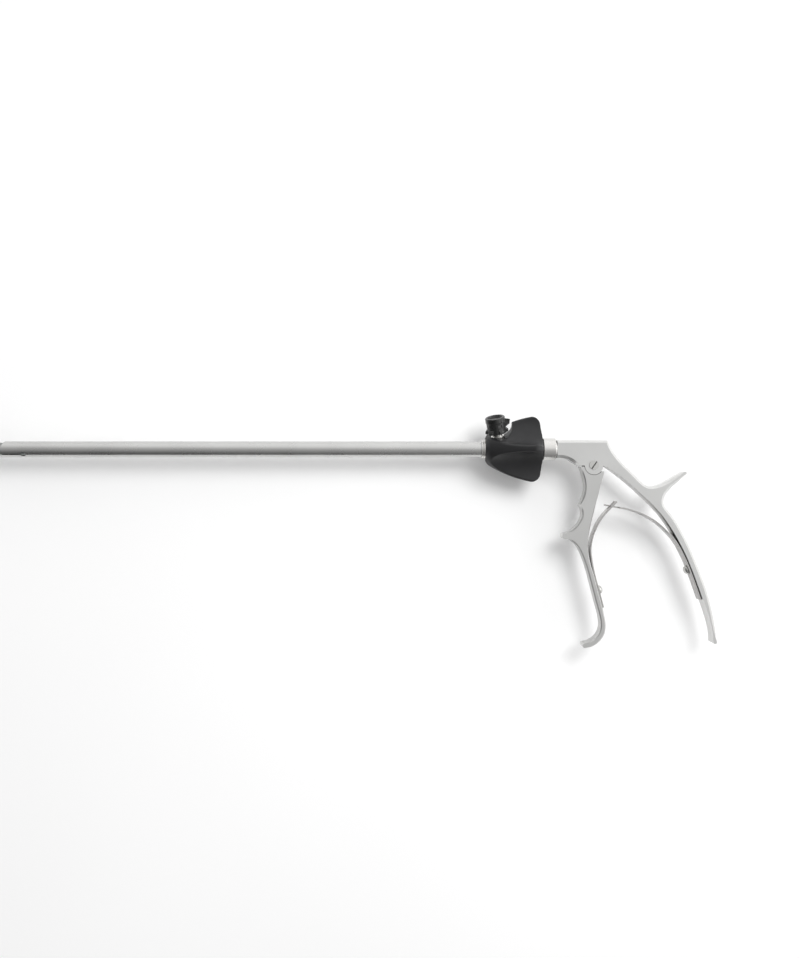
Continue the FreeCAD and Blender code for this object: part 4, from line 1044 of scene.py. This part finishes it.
@dataclass
class Shaft:
    """Tube, ring, core, collar and jaws."""

    def build(self, shop: Workshop) -> None:
        """Make every piece of the shaft.

        Args:
            shop: the workshop.
        """
        Tube().build(shop)
        Turned("front_ring", "rotator", RING, 0.06).build(shop)
        Turned("shaft_collar", "handle", COLLAR).build(shop)
        shop.softened("knob_core", "rotator", 0.1)
        shop.softened("flush_port", "rotator", 0.1)
        shop.softened("fixed_jaw", "rotator", 0.15)
        shop.softened("moving_jaw", "upper_jaw", 0.15)
        shop.softened("jaw_pin", "rotator", 0.08)


@dataclass
class Studio:
    """Camera, floor, soft light and pale surroundings."""

    eye: Place = (-0.050625, -0.0185625, 0.6)
    lens: float = 36.08
    sensor: float = 36.0
    floor: float = -0.02045
    span: float = 6.0
    brightest: float = 1.45
    aim: Place = (0.03, -0.03, 0.0)
    key_at: Place = (0.34, 0.38, 0.90)
    key_size: float = 0.46
    key_power: float = 5.6
    side_at: Place = (0.95, 0.20, 0.42)
    side_size: float = 0.50
    side_power: float = 1.4

    def build(self) -> None:
        """Set up the studio."""
        scene = bpy.context.scene
        scene.view_settings.view_transform = "Standard"
        camera = bpy.data.cameras.new("camera")
        camera.sensor_width = self.sensor
        camera.lens = self.lens
        camera.clip_start, camera.clip_end = 0.01, 20.0
        holder = bpy.data.objects.new("camera", camera)
        holder.location = self.eye
        scene.collection.objects.link(holder)
        scene.camera = holder
        self.lay_floor()
        key = self.light("key_softbox", self.key_at, self.key_size, self.key_power)
        key.visible_glossy = False
        self.light("side_softbox", self.side_at, self.side_size, self.side_power)
        self.surround()

    def lay_floor(self) -> None:
        """Lay the pale floor."""
        bpy.ops.object.select_all(action="DESELECT")
        bpy.ops.mesh.primitive_plane_add(size=self.span, location=(0.0, 0.0, self.floor))
        floor = bpy.context.object
        floor.name = "floor"
        bench = NodeBench("floor_paper")
        place = bench.coordinates()
        tone = bench.noise(place, 3.0, 2.0)
        bench.link(bench.ramp(tone, (0.955, 0.955, 0.955), (0.975, 0.975, 0.975)), "Base Color")
        bench.set("Roughness", 0.9)
        bench.set("Specular IOR Level", 0.1)
        floor.data.materials.append(bench.material)

    def light(self, name: str, place: Place, size: float, power: float) -> Shape:
        """Hang one softbox that looks at the object.

        Args:
            name: its name.
            place: where it hangs.
            size: its side in metres.
            power: its power in watts.

        Returns:
            The lamp's object.
        """
        lamp = bpy.data.lights.new(name, "AREA")
        lamp.size = size
        lamp.energy = power
        holder = bpy.data.objects.new(name, lamp)
        holder.location = place
        aim = Vector(self.aim) - Vector(place)
        holder.rotation_euler = aim.to_track_quat("-Z", "Y").to_euler()
        bpy.context.scene.collection.objects.link(holder)
        return holder

    def surround(self) -> None:
        """Surround the object with a sky that is bright at the upper right."""
        world = bpy.data.worlds.new("studio")
        bpy.context.scene.world = world
        world.use_nodes = True
        tree = world.node_tree
        tree.nodes.clear()
        place = tree.nodes.new("ShaderNodeTexCoord")
        slope = tree.nodes.new("ShaderNodeVectorMath")
        slope.operation = "DOT_PRODUCT"
        slope.inputs[1].default_value = Vector((1.0, 1.0, 0.0)).normalized()
        tree.links.new(place.outputs["Generated"], slope.inputs[0])
        shade = tree.nodes.new("ShaderNodeMapRange")
        shade.inputs["From Min"].default_value = -1.0
        tree.links.new(slope.outputs["Value"], shade.inputs["Value"])
        tones = tree.nodes.new("ShaderNodeValToRGB")
        stops = tones.color_ramp.elements
        while len(stops) < len(SKY):
            stops.new(0.5)
        for stop, (slant, tone) in zip(stops, SKY):
            stop.position = (slant + 1.0) / 2.0
            stop.color = (tone, tone, tone, 1.0)
        tree.links.new(shade.outputs["Result"], tones.inputs["Fac"])
        sky = tree.nodes.new("ShaderNodeBackground")
        sky.inputs["Strength"].default_value = self.brightest
        tree.links.new(tones.outputs["Color"], sky.inputs["Color"])
        out = tree.nodes.new("ShaderNodeOutputWorld")
        tree.links.new(sky.outputs["Background"], out.inputs["Surface"])


SKY: list[Station] = [
    (-0.75, 0.08), (-0.6, 0.18), (-0.4, 0.28), (-0.2, 0.33), (0.0, 0.43), (0.16, 0.60), (0.3, 0.72),
    (0.7, 0.84), (0.95, 0.94)]


def main() -> None:
    """Build the object and its studio."""
    logging.basicConfig(level=logging.INFO, format="%(name)s: %(message)s")
    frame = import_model()
    Studio().build()
    shop = Workshop(frame)
    port = Port()
    Shaft().build(shop)
    RotationKnob().build(shop, port)
    LuerCap().build(shop, port)
    Grip().build(shop)


if __name__ == "__main__":
    main()
